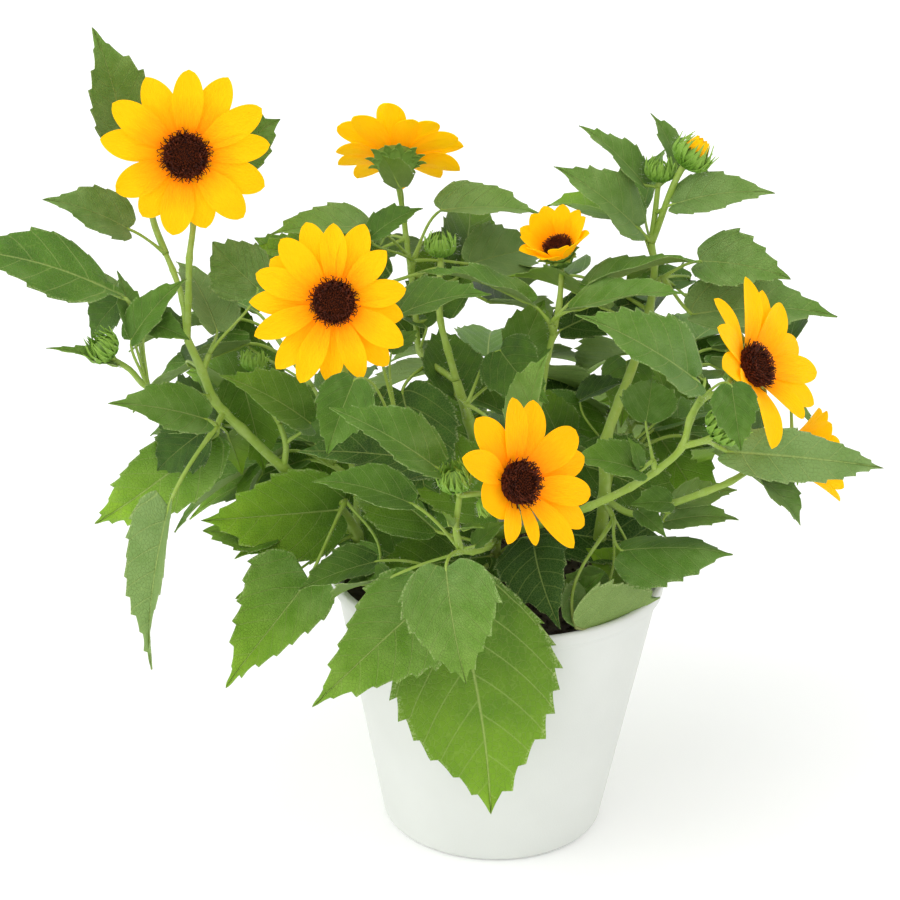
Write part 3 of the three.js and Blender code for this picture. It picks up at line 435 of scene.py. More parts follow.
# Each mass of foliage is a short leafy stem: leaf stalks leave its nodes and carry soft blades, broad
# at the foot, with a drawn-out tip, pairs of ribs and coarse teeth that point forwards. A row gives the
# node, stalk, blade, width and roll of a leaf, how much painted glow of light shining through it gets,
# and how pale it is, which is partly its own tone and partly painted sheen and shade. For a
# blade of another form it goes on with how far its halves stand up, how full its foot is, and how long
# a neck it has.
foliage = [
    ("front_foliage", ("front_bough", 3), [(-106, 59, 0.014), (-71, 77, 0.01), (-55, 79, 0.006)], [
        (0, (-104, 4, 0.022), (-46, -74, 0.048), 0.041, -40, 0.35, 0.7, 20, 0.5),
        (0, (180, 44, 0.028), (180, 13, 0.04), 0.024, 25, 0.15, 0.4),
        (3, (168, 48, 0.014), (-169, 33, 0.05), 0.031, 30, 0.1, 0.5),
        (0, (-35, 28, 0.008), (19, 35, 0.016), 0.01, -25, 0.3, 0.5),
        (1, (-128, 38, 0.004), (-132, 57, 0.009), 0.006, 0, 0.6, 0.6),
        (1, (-51, 19, 0.004), (-21, 13, 0.01), 0.006, 0, 0.6, 0.6),
    ]),
    ("front_pot_foliage", ("middle_stem", 1), [(-100, 12, 0.03), (-103, 13, 0.022)], [
        (2, (-117, 33, 0.0225), (-58, -68, 0.105), 0.07, -22, 0.6, 0.12, 4, 0.8),
        (2, (-116, 9, 0.041), (-146, -33, 0.063), 0.048, 62, 0.5, 0.6, 20, 0.4),
        (2, (-150, 22, 0.048), (-156, -12, 0.035), 0.023, 15, 0.15, 0.1),
    ]),
    ("near_left_foliage", ("near_left_bough", 2), [(46, 59, 0.005)], [
        (1, (-35, -16, 0.022), (-166, 9, 0.06), 0.036, 28, 0, 0.1),
        (1, (-119, 46, 0.05), (-129, -60, 0.032), 0.025, 40, 0.15, 0.5),
        (1, (125, 76, 0.049), (-13, 21, 0.048), 0.028, -22, 0.1, 0.3),
        (1, (107, 66, 0.036), (52, 19, 0.018), 0.011, -20, 0.3, 0.5),
    ]),
    ("left_top_foliage", ("left_rear_bough", 3), [(124, 47, 0.018), (102, 53, 0.014), (73, 47, 0.012)], [
        (0, (-173, 36, 0.019), (-162, 24, 0.038), 0.025, 45, 0.1, 0.8),
        (3, (165, 38, 0.02), (-150, 76, 0.047), 0.034, 80, 0.2, 0.8, 20, 0.5),
        (3, (8, 5, 0.03), (8, 35, 0.028), 0.029, -72, 0.15, 0.6),
    ]),
    ("left_side_foliage", ("left_stem", 6),
     [(-144, 23, 0.017), (-163, 12, 0.014), (-163, 50, 0.011), (-162, 37, 0.008)], [
        (2, (153, 76, 0.038), (-160, 20, 0.079), 0.034, 33, 0.05, 0.5, 6, 0.58, 0.14),
        (2, (-142, 73, 0.023), (25, 45, 0.034), 0.018, -30, 0.15, 0.5),
        (2, (-165, 77, 0.023), (113, 45, 0.032), 0.013, -20, 0.1, 0.6),
        (2, (0, 87, 0.028), (-24, -11, 0.02), 0.014, -40, 0.1, 0.4),
        (2, (135, 63, 0.038), (156, -52, 0.025), 0.018, 80, 0.1, 0.3),
        (4, (-30, -53, 0.003), (-166, 19, 0.03), 0.009, 20, 0.4, 0.8),
    ]),
    ("left_low_foliage", ("left_stem", 5), [(-104, -22, 0.009)], [
        (1, (-120, 35, 0.009), (-148, 19, 0.045), 0.025, 48, 0.2, 0.6),
        (1, (-133, -48, 0.04), (-147, -81, 0.074), 0.031, 14, 0.1, 1.0, 30, 0.42),
        (1, (126, -8, 0.01), (154, -21, 0.032), 0.019, 28, 0.2, 0.5),
        (1, (146, -28, 0.008), (173, -43, 0.03), 0.027, 75, 0.0, 0.1),
        (1, (98, -38, 0.013), (162, -40, 0.081), 0.035, 100, 0.9, 0.6),
        (1, (74, -35, 0.013), (60, -66, 0.024), 0.017, 34, 0.8, 0.6),
    ]),
    ("left_fork_foliage", ("left_stem", 7), [(48, 59, 0.008)], [
        (1, (77, 34, 0.012), (122, 28, 0.046), 0.028, -10, 0.15, 1.0),
        (1, (40, 44, 0.035), (147, 33, 0.03), 0.03, 52, 0.1, 0.7),
    ]),
    ("left_inner_foliage", ("left_stem", 3), [(-66, 76, 0.013), (159, 72, 0.009)], [
        (2, (135, 28, 0.03), (-46, -68, 0.043), 0.032, -30, 0.45, 0.3),
        (1, (5, 40, 0.014), (-156, 34, 0.048), 0.029, 42, 0.35, 0.5),
    ]),
    ("left_pot_foliage", ("left_stem", 2), [(-51, 30, 0.009)], [
        (1, (145, -50, 0.007), (-162, 1, 0.061), 0.044, 75, 0.85, 0.35),
        (1, (-113, -34, 0.042), (-147, -45, 0.058), 0.048, 28, 0.7, 0.6, 26, 0.38),
        (1, (-50, -38, 0.032), (167, -27, 0.04), 0.024, 20, 0.3, 0.5),
    ]),
    ("far_foliage", ("far_flower_bough", 4), [(-80, 66, 0.008)], [
        (1, (31, 56, 0.026), (17, -5, 0.048), 0.032, -15, 0.4, 0.9),
        (1, (-119, 29, 0.039), (21, 26, 0.026), 0.016, -28, 0.1, 0.4),
        (1, (-127, 34, 0.039), (-171, -2, 0.042), 0.025, 20, 0.5, 0.9),
        (1, (17, -7, 0.027), (43, -1, 0.046), 0.032, -42, 0.15, 0.9),
    ]),
    ("bud_foliage", ("bud_bough", 4), [(180, 89, 0.004)], []),
    ("middle_foliage", ("middle_stem", 4), [(-94, 43, 0.016)], [
        (1, (104, -8, 0.023), (106, 37, 0.036), 0.034, -12, 0.1, 0.3),
        (1, (41, 49, 0.028), (-46, -28, 0.034), 0.03, -50, 0.1, 0.3),
        (1, (-61, 3, 0.055), (-45, 78, 0.041), 0.026, -80, 0.3, 0.8),
        (1, (44, 23, 0.034), (63, 43, 0.032), 0.024, -27, 0.2, 0.5),
    ]),
    ("middle_flower_foliage", ("middle_flower_bough", 4), [(-105, 46, 0.009)], [
        (1, (-156, 46, 0.014), (-178, 16, 0.05), 0.025, 0, 0.1, 0.5),
        (1, (15, 40, 0.022), (16, 12, 0.052), 0.03, 10, 0.2, 0.6),
        (1, (-45, 35, 0.016), (-14, 15, 0.05), 0.027, -10, 0.15, 0.6),
    ]),
    ("right_top_foliage", ("right_stem", 7), [(149, 77, 0.009), (53, 84, 0.013), (52, 84, 0.012)], [
        (1, (-172, 46, 0.01), (-151, 37, 0.053), 0.031, 52, 0.2, 0.8),
        (3, (171, 5, 0.006), (180, 42, 0.039), 0.02, 28, 0.2, 0.7),
        (3, (38, 28, 0.013), (141, 55, 0.028), 0.015, 10, 0.15, 0.7),
        (2, (-36, 33, 0.011), (-7, 10, 0.044), 0.022, -45, 0.15, 0.9),
    ]),
    ("right_upper_foliage", ("right_stem", 6), [(-61, 39, 0.009)], [
        (1, (-7, 28, 0.018), (-22, -3, 0.041), 0.029, -48, 0.15, 0.8),
        (1, (-42, -36, 0.022), (5, 0, 0.064), 0.038, -28, 0.15, 0.8),
        (1, (51, -34, 0.028), (30, -26, 0.045), 0.028, -50, 0.1, 0.6),
        (1, (52, -15, 0.023), (-162, -5, 0.034), 0.018, 22, 0.1, 0.6),
    ]),
    ("right_high_foliage", ("right_flower_bough", 7), [(-91, 38, 0.005)], [
        (1, (-106, 38, 0.022), (-155, 32, 0.062), 0.033, 46, 0.15, 0.6),
        (1, (-62, 29, 0.024), (-73, -59, 0.026), 0.02, -22, 0.1, 0.5),
    ]),
    ("right_side_foliage", ("right_flower_bough", 5), [(-31, 24, 0.009), (-30, 33, 0.007)], [
        (1, (66, -25, 0.038), (24, -13, 0.082), 0.024, -70, 0.1, 0.9, 14),
    ]),
    ("right_shoot_foliage", ("right_flower_bough", 4), [(-129, 64, 0.006)], [
        (1, (-135, -20, 0.008), (-156, 16, 0.034), 0.022, 33, 0.3, 0.5),
        (1, (94, 15, 0.027), (82, 27, 0.026), 0.026, -7, 0.05, 0.5),
        (1, (-142, -11, 0.007), (-145, 65, 0.016), 0.008, 80, 0.3, 0.5),
    ]),
    ("right_low_foliage", ("right_low_bough", 2), [(-114, -30, 0.005)], [
        (1, (104, -54, 0.008), (1, 4, 0.032), 0.016, -32, 0.2, 0.9),
        (1, (-40, 75, 0.005), (-160, 4, 0.019), 0.014, 40, 0.1, 0.5),
        (1, (177, 2, 0.013), (-41, -26, 0.018), 0.011, -30, 0.1, 0.6),
        (1, (66, 7, 0.009), (19, 7, 0.029), 0.016, -27, 0.4, 1.0),
    ]),
    ("right_far_foliage", ("right_low_bough", 5), [(-51, -30, 0.003)], [
        (1, (-68, -2, 0.006), (-14, -46, 0.026), 0.023, -15, 0.1, 0.7),
    ]),
    ("right_rim_foliage", ("right_stem", 1), [(-72, -18, 0.013)], [
        (1, (-85, -7, 0.028), (-12, 6, 0.048), 0.038, -20, 0.05, 0.6, -25),
        (1, (-107, -25, 0.064), (44, 0, 0.052), 0.044, 18, 0.0, 0.85, 62),
        (1, (-97, -44, 0.032), (-163, -7, 0.028), 0.02, 50, 0.4, 0.7),
        (1, (-118, -32, 0.046), (0, 46, 0.019), 0.012, -60, 0.15, 0.5),
    ]),
    ("rear_left_foliage", ("rear_left_bough", 3), [(130, 30, 0.018), (135, 35, 0.018)], []),
    ("rear_left_low_foliage", ("rear_left_bough", 1), [(140, 15, 0.014)], []),
    ("rear_foliage", ("rear_bough", 3), [(90, 12, 0.018), (88, 8, 0.018)], []),
    ("rear_middle_foliage", ("rear_bough", 1), [(60, 35, 0.012)], []),
    ("rear_right_foliage", ("rear_right_bough", 3), [(62, 22, 0.016), (58, 22, 0.016)], []),
    ("rear_right_low_foliage", ("rear_right_bough", 1), [(45, 5, 0.014)], []),
]


def rear_leaves(legs):
    """The leaves at the back: a pair at each node, outwards and hanging less towards the tip, and one
    at the end."""
    rows = []
    for k, (heading, _, _) in enumerate(legs):
        for hand in (-1, 1):
            length = 0.062 - 0.008 * k
            rows.append((k + 1, (heading + hand * (58 - 8 * k), 22, 0.024 - 0.006 * k),
                         (heading + hand * (62 - 12 * k), -30 + 14 * k, length), length * 0.64,
                         -12 * hand, 0.2, 0.35))
    heading = legs[-1][0]
    return rows + [(len(legs), (heading, 30, 0.014), (heading, -5, 0.058), 0.036, 0, 0.15, 0.5)]


sharp_edge = 0.9


def lay_blade(bed, rows, columns, place, tone, light):
    """A thin closed blade, bent from a flat grid: place gives the spot of each point of its upper
    and its lower side, and how far across the blade it lies."""
    part = bmesh.new()
    marks = {name: part.verts.layers.float.new(name)
             for name in ("along", "across", "edge", "under", "tone", "light")}
    bmesh.ops.create_grid(part, x_segments=columns, y_segments=rows, size=0.5)
    for point in part.verts:
        point[marks["along"]] = point.co.y + 0.5
        point[marks["across"]] = point.co.x * 2
        point[marks["edge"]] = abs(point.co.x * 2)
        point[marks["tone"]] = tone
        # light holds a share of painted light: the glow of leaves and the lighter green of bracts; on
        # petals it holds how orange they are
        point[marks["light"]] = light
    lower = bmesh.ops.extrude_face_region(part, geom=part.faces[:], use_keep_orig=True)["geom"]
    for point in lower:
        if isinstance(point, bmesh.types.BMVert):
            point[marks["under"]] = 1.0
    for point in part.verts:
        share, across = point[marks["along"]], point[marks["across"]]
        point.co, point[marks["across"]] = place(share, across, point[marks["under"]])
    bmesh.ops.remove_doubles(part, verts=part.verts, dist=1e-6)
    bmesh.ops.recalc_face_normals(part, faces=part.faces)
    for edge in part.edges:
        if edge.calc_face_angle(0) > sharp_edge:
            edge.smooth = False
    lay_into(bed, part)


tooth = (0, 0.1, 0.26, 0.47, 0.73, 1)
run_power = 1.12
rib_pairs, rib_lean, rib_bend, rib_shift = 6.5, 0.8, 1.2, 0.35


def add_leaf(blades, twigs, node, row, chance):
    """One leaf: its stalk, which runs on as the midrib, and its toothed blade."""
    _, stalk, blade, width, roll, light, tone, *form = row
    fold, full, neck = form + [20, 0.58, 0.0][len(form):]
    length = blade[2]
    out = direction(*stalk[:2])
    base = node + out * stalk[2]
    along = direction(*blade[:2])
    side = Vector((math.sin(math.radians(blade[0])), -math.cos(math.radians(blade[0])), 0))
    normal = side.cross(along)
    tip = Matrix.Rotation(-math.radians(roll), 3, along)
    side, normal = tip @ side, tip @ normal
    teeth = round(3.5 + length * 85) if length > 0.024 else 4
    rows = teeth * len(tooth)
    columns = 18 if width > 0.03 else 14 if width > 0.016 else 8
    bites = {(hand, k): chance.uniform(0.3, 1.3) for hand in (-1, 1) for k in range(teeth + 1)}
    depth = 0.0005 + 0.06 * width / 2
    sway, curl = chance.uniform(-0.03, 0.03), chance.uniform(0.05, 0.3)
    waves, shift = chance.uniform(1.6, 2.6), chance.random() * 6
    ruffle = chance.uniform(0.012, 0.026) * length
    belly = -1.2 if fold > 45 else 1.0
    fold = math.radians(fold)

    def place(share, across, under):
        """Where a point of the blade lies, and how far it is from the midrib as a share of the length."""
        run = share ** run_power
        hand = 1 if across > 0 else -1
        reach = abs(across) ** 1.2
        half = math.sin(math.pi * max(0.0, min(1.0, (run - neck) / (1 - neck))) ** full) * width / 2
        drawn_out = 1 - 0.35 * max(0, (run - 0.7) / 0.3)
        half = max(half * drawn_out, neck * width * math.sin(math.pi * min(1, run * 3)))
        step = round(share * rows)
        bite = bites[hand, step // len(tooth)] * tooth[step % len(tooth)] * depth
        bite *= min(1, run * 9) * min(1, (1 - run) * 9)
        far = half * reach + (bite - depth * 0.45 * min(1, half / depth)) * reach ** 9
        lobe = 0.1 * (1 - run) ** 4 * length * reach ** 1.3 * min(1, half / (0.2 * width))
        ahead = 0.7 * bite * reach ** 9
        between_ribs = ((run - rib_lean * far / length - rib_bend * (far / length) ** 2) * rib_pairs
                        + (rib_shift if hand > 0 else 0))
        puff = 0.01 * length * abs(math.sin(math.pi * between_ribs)) * min(1, reach * 4) * (1 - reach ** 3)
        wave = ruffle * reach ** 2.5 * math.sin(run * waves * math.tau + shift + hand)
        wave *= min(1, half / 0.004)
        middle = 4 * run * (1 - run)
        arch = belly * length * 0.06 * middle - curl * length * max(0, run - 0.65) ** 2
        rise = arch + far * math.sin(fold) * reach ** 0.25 + puff + wave
        thick = 0.0003 + 0.0007 * math.exp(-(across / 0.07) ** 2) * (1 - run)
        spot = (base + along * (run * length - lobe + ahead)
                + side * (hand * far * math.cos(fold) + sway * length * middle)
                + normal * (rise - under * thick))
        return spot, hand * far / length

    lay_blade(blades, rows, columns, place, tone, light)
    turn = (out * 0.6 + along * 0.4).normalized()
    third = stalk[2] / 3
    lifted = Vector((0, 0, stalk[2] * 0.05))
    count = max(5, round(stalk[2] / 0.0025))
    path = geometry.interpolate_bezier(node, node + out * third + lifted, base - turn * third + lifted,
                                       base, count)
    thick = 0.00045 + 0.0075 * min(length, 0.08)
    radii = [thick * (1.35 - 0.5 * min(1, k / count * 3)) for k in range(count)]
    for share in (0.06, 0.14, 0.24, 0.36):
        path.append(place(share ** (1 / run_power), 0, 1)[0] - normal * 0.0001)
        radii.append(thick * (0.75 - 1.6 * share))
    draw_shoot(twigs, path, radii, 10)
    return path, radii


leaf = Finish("leaf")
along, across, edge, under, tone, light = (
    leaf.mark(name) for name in ("along", "across", "edge", "under", "tone", "light"))
side = abs(across)
on_right = leaf.add("ShaderNodeMath", {"operation": "GREATER_THAN"}, {0: across, 1: 0.0})
course = (along - side * rib_lean - side * side * rib_bend) * rib_pairs + on_right * rib_shift
rib = (1 - abs((course + 0.5).part() - 0.5) / 0.045).held() * (1.25 - course * 0.12).held()
midrib = (1.3 - side / (0.0095 - along * 0.006)).held()
ribs = leaf.add("ShaderNodeMath", {"operation": "MAXIMUM"}, {0: midrib, 1: rib * 0.75})
flat = leaf.add("ShaderNodeCombineXYZ", {}, {0: across, 1: along, 2: tone * 9})
net = leaf.add("ShaderNodeTexVoronoi", {"feature": "DISTANCE_TO_EDGE"},
               {"Vector": flat, "Scale": 46.0}, "Distance")
mesh_lines = (1 - net * 9).held()
cloud = leaf.mottle(7, 4, flat)
patches = leaf.mottle(38, 2)
# The tone mark is partly a leaf's own paleness and partly painted sheen and shade: it is high on some upper
# leaves and low on deep ones. The pale grey-green at the top of the mix is painted sheen.
shade = (cloud - 0.5) * 0.7 + (patches - 0.5) * 0.5 + tone
fresh = leaf.blend((shade * 2).held(), tint(42, 78, 12), tint(80, 123, 32))
fresh = leaf.blend((shade * 2 - 1).held(), fresh, tint(124, 154, 86))
pale = leaf.blend(cloud, tint(108, 138, 60), tint(138, 164, 92))
# Painted light: a lime glow stands in for light shining through the blade. A leaf's light mark says how
# much it gets, and the glow grows towards the tip, so the foot stays darker.
painted_through_light = leaf.blend(cloud, tint(104, 156, 10), tint(146, 186, 34))
body = leaf.blend((light * (along * 1.3 + 0.08)).held(), leaf.blend(under, fresh, pale), painted_through_light)
body = leaf.blend(mesh_lines * 0.2, body, tint(150, 176, 84))
body = leaf.blend(ribs * 0.6, body, tint(168, 190, 104))
specks = (leaf.mottle(1300, 1) * 4 - 1.8).held() * ((edge - 0.93) * 20).held()
leaf.set(Base_Color=leaf.blend(specks * 0.5, body, tint(200, 214, 150)),
         Roughness=0.44 + cloud * 0.24 + under * 0.15, Specular_IOR_Level=0.3)
leaf.relief((ribs * 0.8 + mesh_lines * 0.4) * (under * 2 - 1) * 0.5 + 0.5 + cloud * 0.3, 0.0009)

ends_of = {}
for index, (name, start, legs, rows) in enumerate(foliage):
    chance = random.Random(100 + index)
    blades, twigs, fuzz = bmesh.new(), bmesh.new(), bmesh.new()
    nodes = ends_of[name] = walk(node_of[start[0]][start[1]], legs)
    path = bent_through(nodes, 0.0025)
    radii = [(0.0016 - 0.0004 * k / len(path)) * 0.95 for k in range(len(path))]
    draw_shoot(twigs, path, radii, 12, 0.05)
    add_hairs(fuzz, path, radii, 6 + 2 * len(path), 0.001, chance)
    if name.startswith("rear"):
        rows = rear_leaves(legs)
    for row in rows:
        path, radii = add_leaf(blades, twigs, nodes[row[0]], row, chance)
        add_hairs(fuzz, path[:-4], radii, 2 * len(path), 0.0009, chance)
    if rows:
        set_down("leaves_" + name, blades, leaf, [name])
    else:
        blades.free()
    set_down("twigs_" + name, twigs, shoot, [name])
    set_down("hairs_" + name, fuzz, down, [])

# Older leaves stand on the nodes of the stems themselves, inside the crown and mostly in its shade.
# They are of the same make and fill the plant between the masses. Those that point left, towards the
# key lamp, get the most painted glow of light shining through, unless a row ends with a leaf's own
# glow and paleness.
inner_leaves = [
    ("middle_stem", [
        (1, (-99, 29, 0.011), (-152, 2, 0.061), 0.044, 36),
        # the next two get no glow and a tone below zero: painted shade deep in the crown
        (1, (-54, 34, 0.036), (-78, -18, 0.055), 0.036, -31, 0.0, -0.3),
        (2, (23, -2, 0.027), (5, -10, 0.062), 0.042, -33, 0.0, -0.3),
        (2, (-173, -14, 0.042), (155, 12, 0.05), 0.034, 17),
    ]),
    ("far_flower_bough", [
        (1, (-124, -20, 0.022), (-68, -48, 0.059), 0.042, -3),
        (3, (42, 3, 0.015), (95, 33, 0.052), 0.033, 11),
        (4, (-3, -18, 0.036), (53, -25, 0.057), 0.038, -3),
        (6, (-93, 52, 0.02), (-136, 57, 0.02), 0.017, -32),
        (5, (-153, -15, 0.046), (149, 20, 0.036), 0.025, 38),
        (2, (97, -11, 0.037), (153, 35, 0.043), 0.03, 16),
        (4, (79, 19, 0.026), (80, -40, 0.051), 0.03, 18),
        (2, (60, 59, 0.011), (106, -11, 0.031), 0.019, 6),
        (5, (134, -8, 0.015), (121, -49, 0.042), 0.028, -19),
    ]),
    ("rear_right_bough", [
        (2, (-30, -8, 0.011), (-42, -46, 0.052), 0.035, -27, 0.7, 0.6),
        (3, (-125, 49, 0.036), (-96, -41, 0.035), 0.026, 6, 0.4, 0.5),
        (2, (44, -18, 0.041), (86, 22, 0.048), 0.028, -8),
        (1, (89, 7, 0.04), (106, -44, 0.056), 0.041, -32),
        (3, (75, 10, 0.037), (16, 6, 0.045), 0.027, -21),
        (1, (42, 32, 0.037), (162, -4, 0.032), 0.024, 45),
        (2, (14, 33, 0.019), (127, 48, 0.03), 0.024, 0),
        (1, (165, 57, 0.032), (5, 22, 0.024), 0.02, -10),
    ]),
    ("rear_bough", [
        (2, (20, 22, 0.033), (-24, -44, 0.062), 0.044, -6, 0.5, 0.5),
        (1, (-4, 14, 0.044), (-11, -21, 0.057), 0.04, -37),
        (3, (43, -13, 0.043), (64, 13, 0.045), 0.027, -6),
        (2, (-87, 16, 0.021), (158, 14, 0.034), 0.026, 45),
        (2, (-100, 44, 0.023), (-10, 28, 0.024), 0.02, -10),
        (1, (22, 22, 0.041), (121, 36, 0.032), 0.027, 0),
        (3, (-131, 55, 0.012), (-124, -44, 0.042), 0.029, -7),
    ]),
    ("middle_flower_bough", [
        (3, (62, 38, 0.015), (33, 8, 0.048), 0.027, -38),
        (1, (137, 45, 0.019), (169, 14, 0.044), 0.026, 11),
    ]),
    ("rear_left_bough", [
        (3, (145, -12, 0.024), (146, -4, 0.057), 0.042, 38),
        (3, (142, 15, 0.045), (126, 41, 0.031), 0.018, -20),
        (1, (154, 10, 0.027), (-175, -27, 0.061), 0.038, 18),
    ]),
    ("left_stem", [
        (8, (135, -9, 0.01), (129, 35, 0.022), 0.02, -33),
        (1, (-128, -8, 0.038), (-147, -12, 0.031), 0.02, 34),
        (1, (-153, 11, 0.023), (-158, -13, 0.035), 0.023, 28),
        (2, (-141, -14, 0.032), (166, -2, 0.035), 0.023, 36),
        (8, (161, 29, 0.038), (168, -2, 0.038), 0.028, -27),
        (2, (-154, -25, 0.023), (-154, -52, 0.025), 0.019, -28),
        (7, (115, -8, 0.023), (60, -43, 0.036), 0.028, -23),
        (4, (127, -17, 0.043), (93, -3, 0.054), 0.038, -38),
        (3, (125, -21, 0.021), (-154, -68, 0.029), 0.023, -12),
        (1, (96, -10, 0.045), (151, 39, 0.056), 0.037, 25),
    ]),
    ("front_bough", [
        (1, (-170, 19, 0.023), (131, 11, 0.061), 0.04, 27),
        (2, (-164, -15, 0.039), (142, -31, 0.034), 0.024, 3),
    ]),
    ("right_stem", [
        (5, (147, 12, 0.042), (117, -23, 0.054), 0.036, 0),
        (7, (151, 57, 0.021), (138, -2, 0.051), 0.035, 11),
        (4, (-151, 52, 0.026), (153, 9, 0.053), 0.032, -26),
        (3, (66, 42, 0.043), (73, 4, 0.057), 0.041, 35),
        (1, (-30, -67, 0.041), (-176, 40, 0.028), 0.026, 60),
        (6, (87, 38, 0.011), (118, -40, 0.028), 0.017, -16),
        (7, (96, 25, 0.038), (70, 37, 0.036), 0.024, 36),
    ]),
    ("bud_bough", [
        (4, (178, -17, 0.027), (177, 14, 0.06), 0.042, 22),
        (3, (80, -9, 0.045), (87, 26, 0.059), 0.033, -29),
    ]),
    ("right_low_bough", [
        (7, (89, 46, 0.045), (70, 22, 0.029), 0.021, 28),
        (8, (147, 22, 0.015), (110, -34, 0.06), 0.04, 27),
    ]),
    ("front_flower_bough", [
        (1, (124, -10, 0.017), (165, 23, 0.059), 0.043, 35),
    ]),
    ("near_left_bough", [
        (3, (114, 3, 0.03), (75, -3, 0.05), 0.032, 13),
    ]),
    ("right_flower_bough", [
        (7, (72, 49, 0.01), (107, -14, 0.035), 0.023, -22),
    ]),
]
for index, (name, rows) in enumerate(inner_leaves):
    chance = random.Random(200 + index)
    blades, twigs = bmesh.new(), bmesh.new()
    for row in rows:
        _, _, (heading, _, _), *_ = row
        # painted light: leaves that point left, towards the key lamp, get more glow
        through = chance.uniform(0.0, 0.6) - 0.35 * math.cos(math.radians(heading))
        usual = (max(0.0, through), chance.uniform(0.0, 0.5))
        add_leaf(blades, twigs, node_of[name][row[0]], row[:5] + (row[5:] or usual), chance)
    set_down("inner_leaves_" + name, blades, leaf, [])
    set_down("inner_stalks_" + name, twigs, shoot, [])

# A flower head has a green cup edged with pointed bracts, one ring of golden petals that turn orange
# at the foot, and a domed disc of small dark flowers. A row gives its name and bough, the way it faces,
# how far its petals stand up, its size and how orange they are, and then each petal's turn, its length
# in millimetres and, where it isn't 1, its width.
flowers = [
    ("left_flower", "left_flower_bough", (-81, 13), 8, 1.05, 0.5,
     [(7, 23.7), (31, 25.9), (60, 25.5), (86, 24.5), (115, 24.4), (143, 25.5), (168, 24.3), (206, 21),
      (233, 19.5), (259, 22), (284, 19.5), (312, 23.4), (338, 23.4)]),
    ("far_flower", "far_flower_bough", (93, 45), 12, 0.92, 0.15,
     [(0, 17), (26, 20), (54, 22), (84, 22.5), (106, 17), (129, 19), (155, 20.7), (184, 21.7), (207, 23),
      (232, 24), (266, 23), (302, 24), (332, 20)]),
    ("near_left_flower", "near_left_bough", (-85, 17), 6, 0.98, 0.5,
     [(10, 19), (44, 19), (68, 23), (90, 21), (109, 23.1), (130, 22.6), (146, 20), (160, 22.9),
      (180, 23.4), (203, 24.6), (229, 25), (247, 25), (267, 22.8), (290, 22.5), (310, 23.1), (328, 22.6),
      (348, 18)]),
    ("middle_flower", "middle_flower_bough", (-125, 60), 55, 0.66, 0.35,
     [(12, 15), (40, 15), (70, 14), (102, 15), (133, 16), (158, 15), (184, 14), (210, 13), (236, 14),
      (262, 15), (288, 16), (314, 16), (344, 15)]),
    ("front_flower", "front_flower_bough", (-50, 21), 12, 0.96, 0.75,
     [(5, 24, 0.85), (27, 22.8), (65, 22.9), (88, 23.9), (119, 23), (150, 21.9), (195, 9, 1.2),
      (238, 15, 0.75), (272, 15, 0.5), (299, 24.5, 0.75), (319, 25.2, 0.9), (338, 22.5, 0.85)]),
    ("right_flower", "right_flower_bough", (-32, 30), 15, 1.02, 0.5,
     [(0, 27), (29, 27), (50, 25.5, 0.85), (72, 28, 1.05), (112, 25.5, 0.72), (139, 24.5, 0.8), (168, 21),
      (200, 14, 1.25), (243, 26.5), (290, 21, 0.7), (314, 26.6, 0.9), (337, 28, 0.9)]),
    ("far_right_flower", "right_low_bough", (12, 4), 52, 0.88, 0.35,
     [(0, 17), (29, 17), (60, 16), (91, 15), (122, 15), (152, 16), (183, 17), (213, 18), (242, 20),
      (272, 20), (303, 20), (332, 18)]),
]


def head_frame(base, facing):
    """The frame of a head that faces that way: level across it, upright on it, and forward."""
    forward = direction(*facing)
    turn = math.radians(facing[0])
    level = Vector((-math.sin(turn), math.cos(turn), 0))
    return (Matrix.Translation(base)
            @ Matrix((level, forward.cross(level), forward)).transposed().to_4x4())


def lay_ray(bed, head, turn, course, half, hollow, rows, columns, thick, tone, light, twist=0.0):
    """A petal, bract or sepal: a blade that leaves its head at a turn and follows a course of
    (radius, height). Hollow lifts its margins."""
    radial = Vector((math.cos(math.radians(turn)), math.sin(math.radians(turn)), 0))
    aside = Vector((-radial.y, radial.x, 0))
    upward = Vector((0, 0, 1))
    reach = math.dist(course(0), course(1))

    def place(share, across, under):
        (near, low), (far, high) = course(max(0, share - 0.01)), course(min(1, share + 0.01))
        radius, height = course(share)
        slope = math.hypot(far - near, high - low) or 1
        lift_way = (radial * (low - high) + upward * (far - near)) / slope
        width = half(share)
        lift = hollow * across * across * width + twist * across * width * share - under * thick
        lift += 0.00025 * math.cos(across * 9.4) * min(1, width / 0.003) * (1 - share)
        spot = radial * radius + upward * height + aside * across * width + lift_way * lift
        return head @ spot, across * width / reach

    lay_blade(bed, rows, columns, place, tone, light)


petal = Finish("petal")
along, across, under, tone, warm = (
    petal.mark(name) for name in ("along", "across", "under", "tone", "light"))
lengthwise = petal.add("ShaderNodeCombineXYZ", {}, {0: across * 9, 1: along * 0.7, 2: tone * 20})
lines = petal.mottle(9, 3, lengthwise)
depth = ((0.58 - along) * 1.6 + (lines - 0.5) * 0.6 + (tone - 0.5) * 0.3).held()
gold = petal.blend(warm, tint(255, 196, 0), tint(255, 166, 0))
gold = petal.blend(depth, gold, petal.blend(warm, tint(255, 150, 0), tint(252, 126, 0)))
gold = petal.blend(under * 0.4, gold, tint(255, 190, 10))
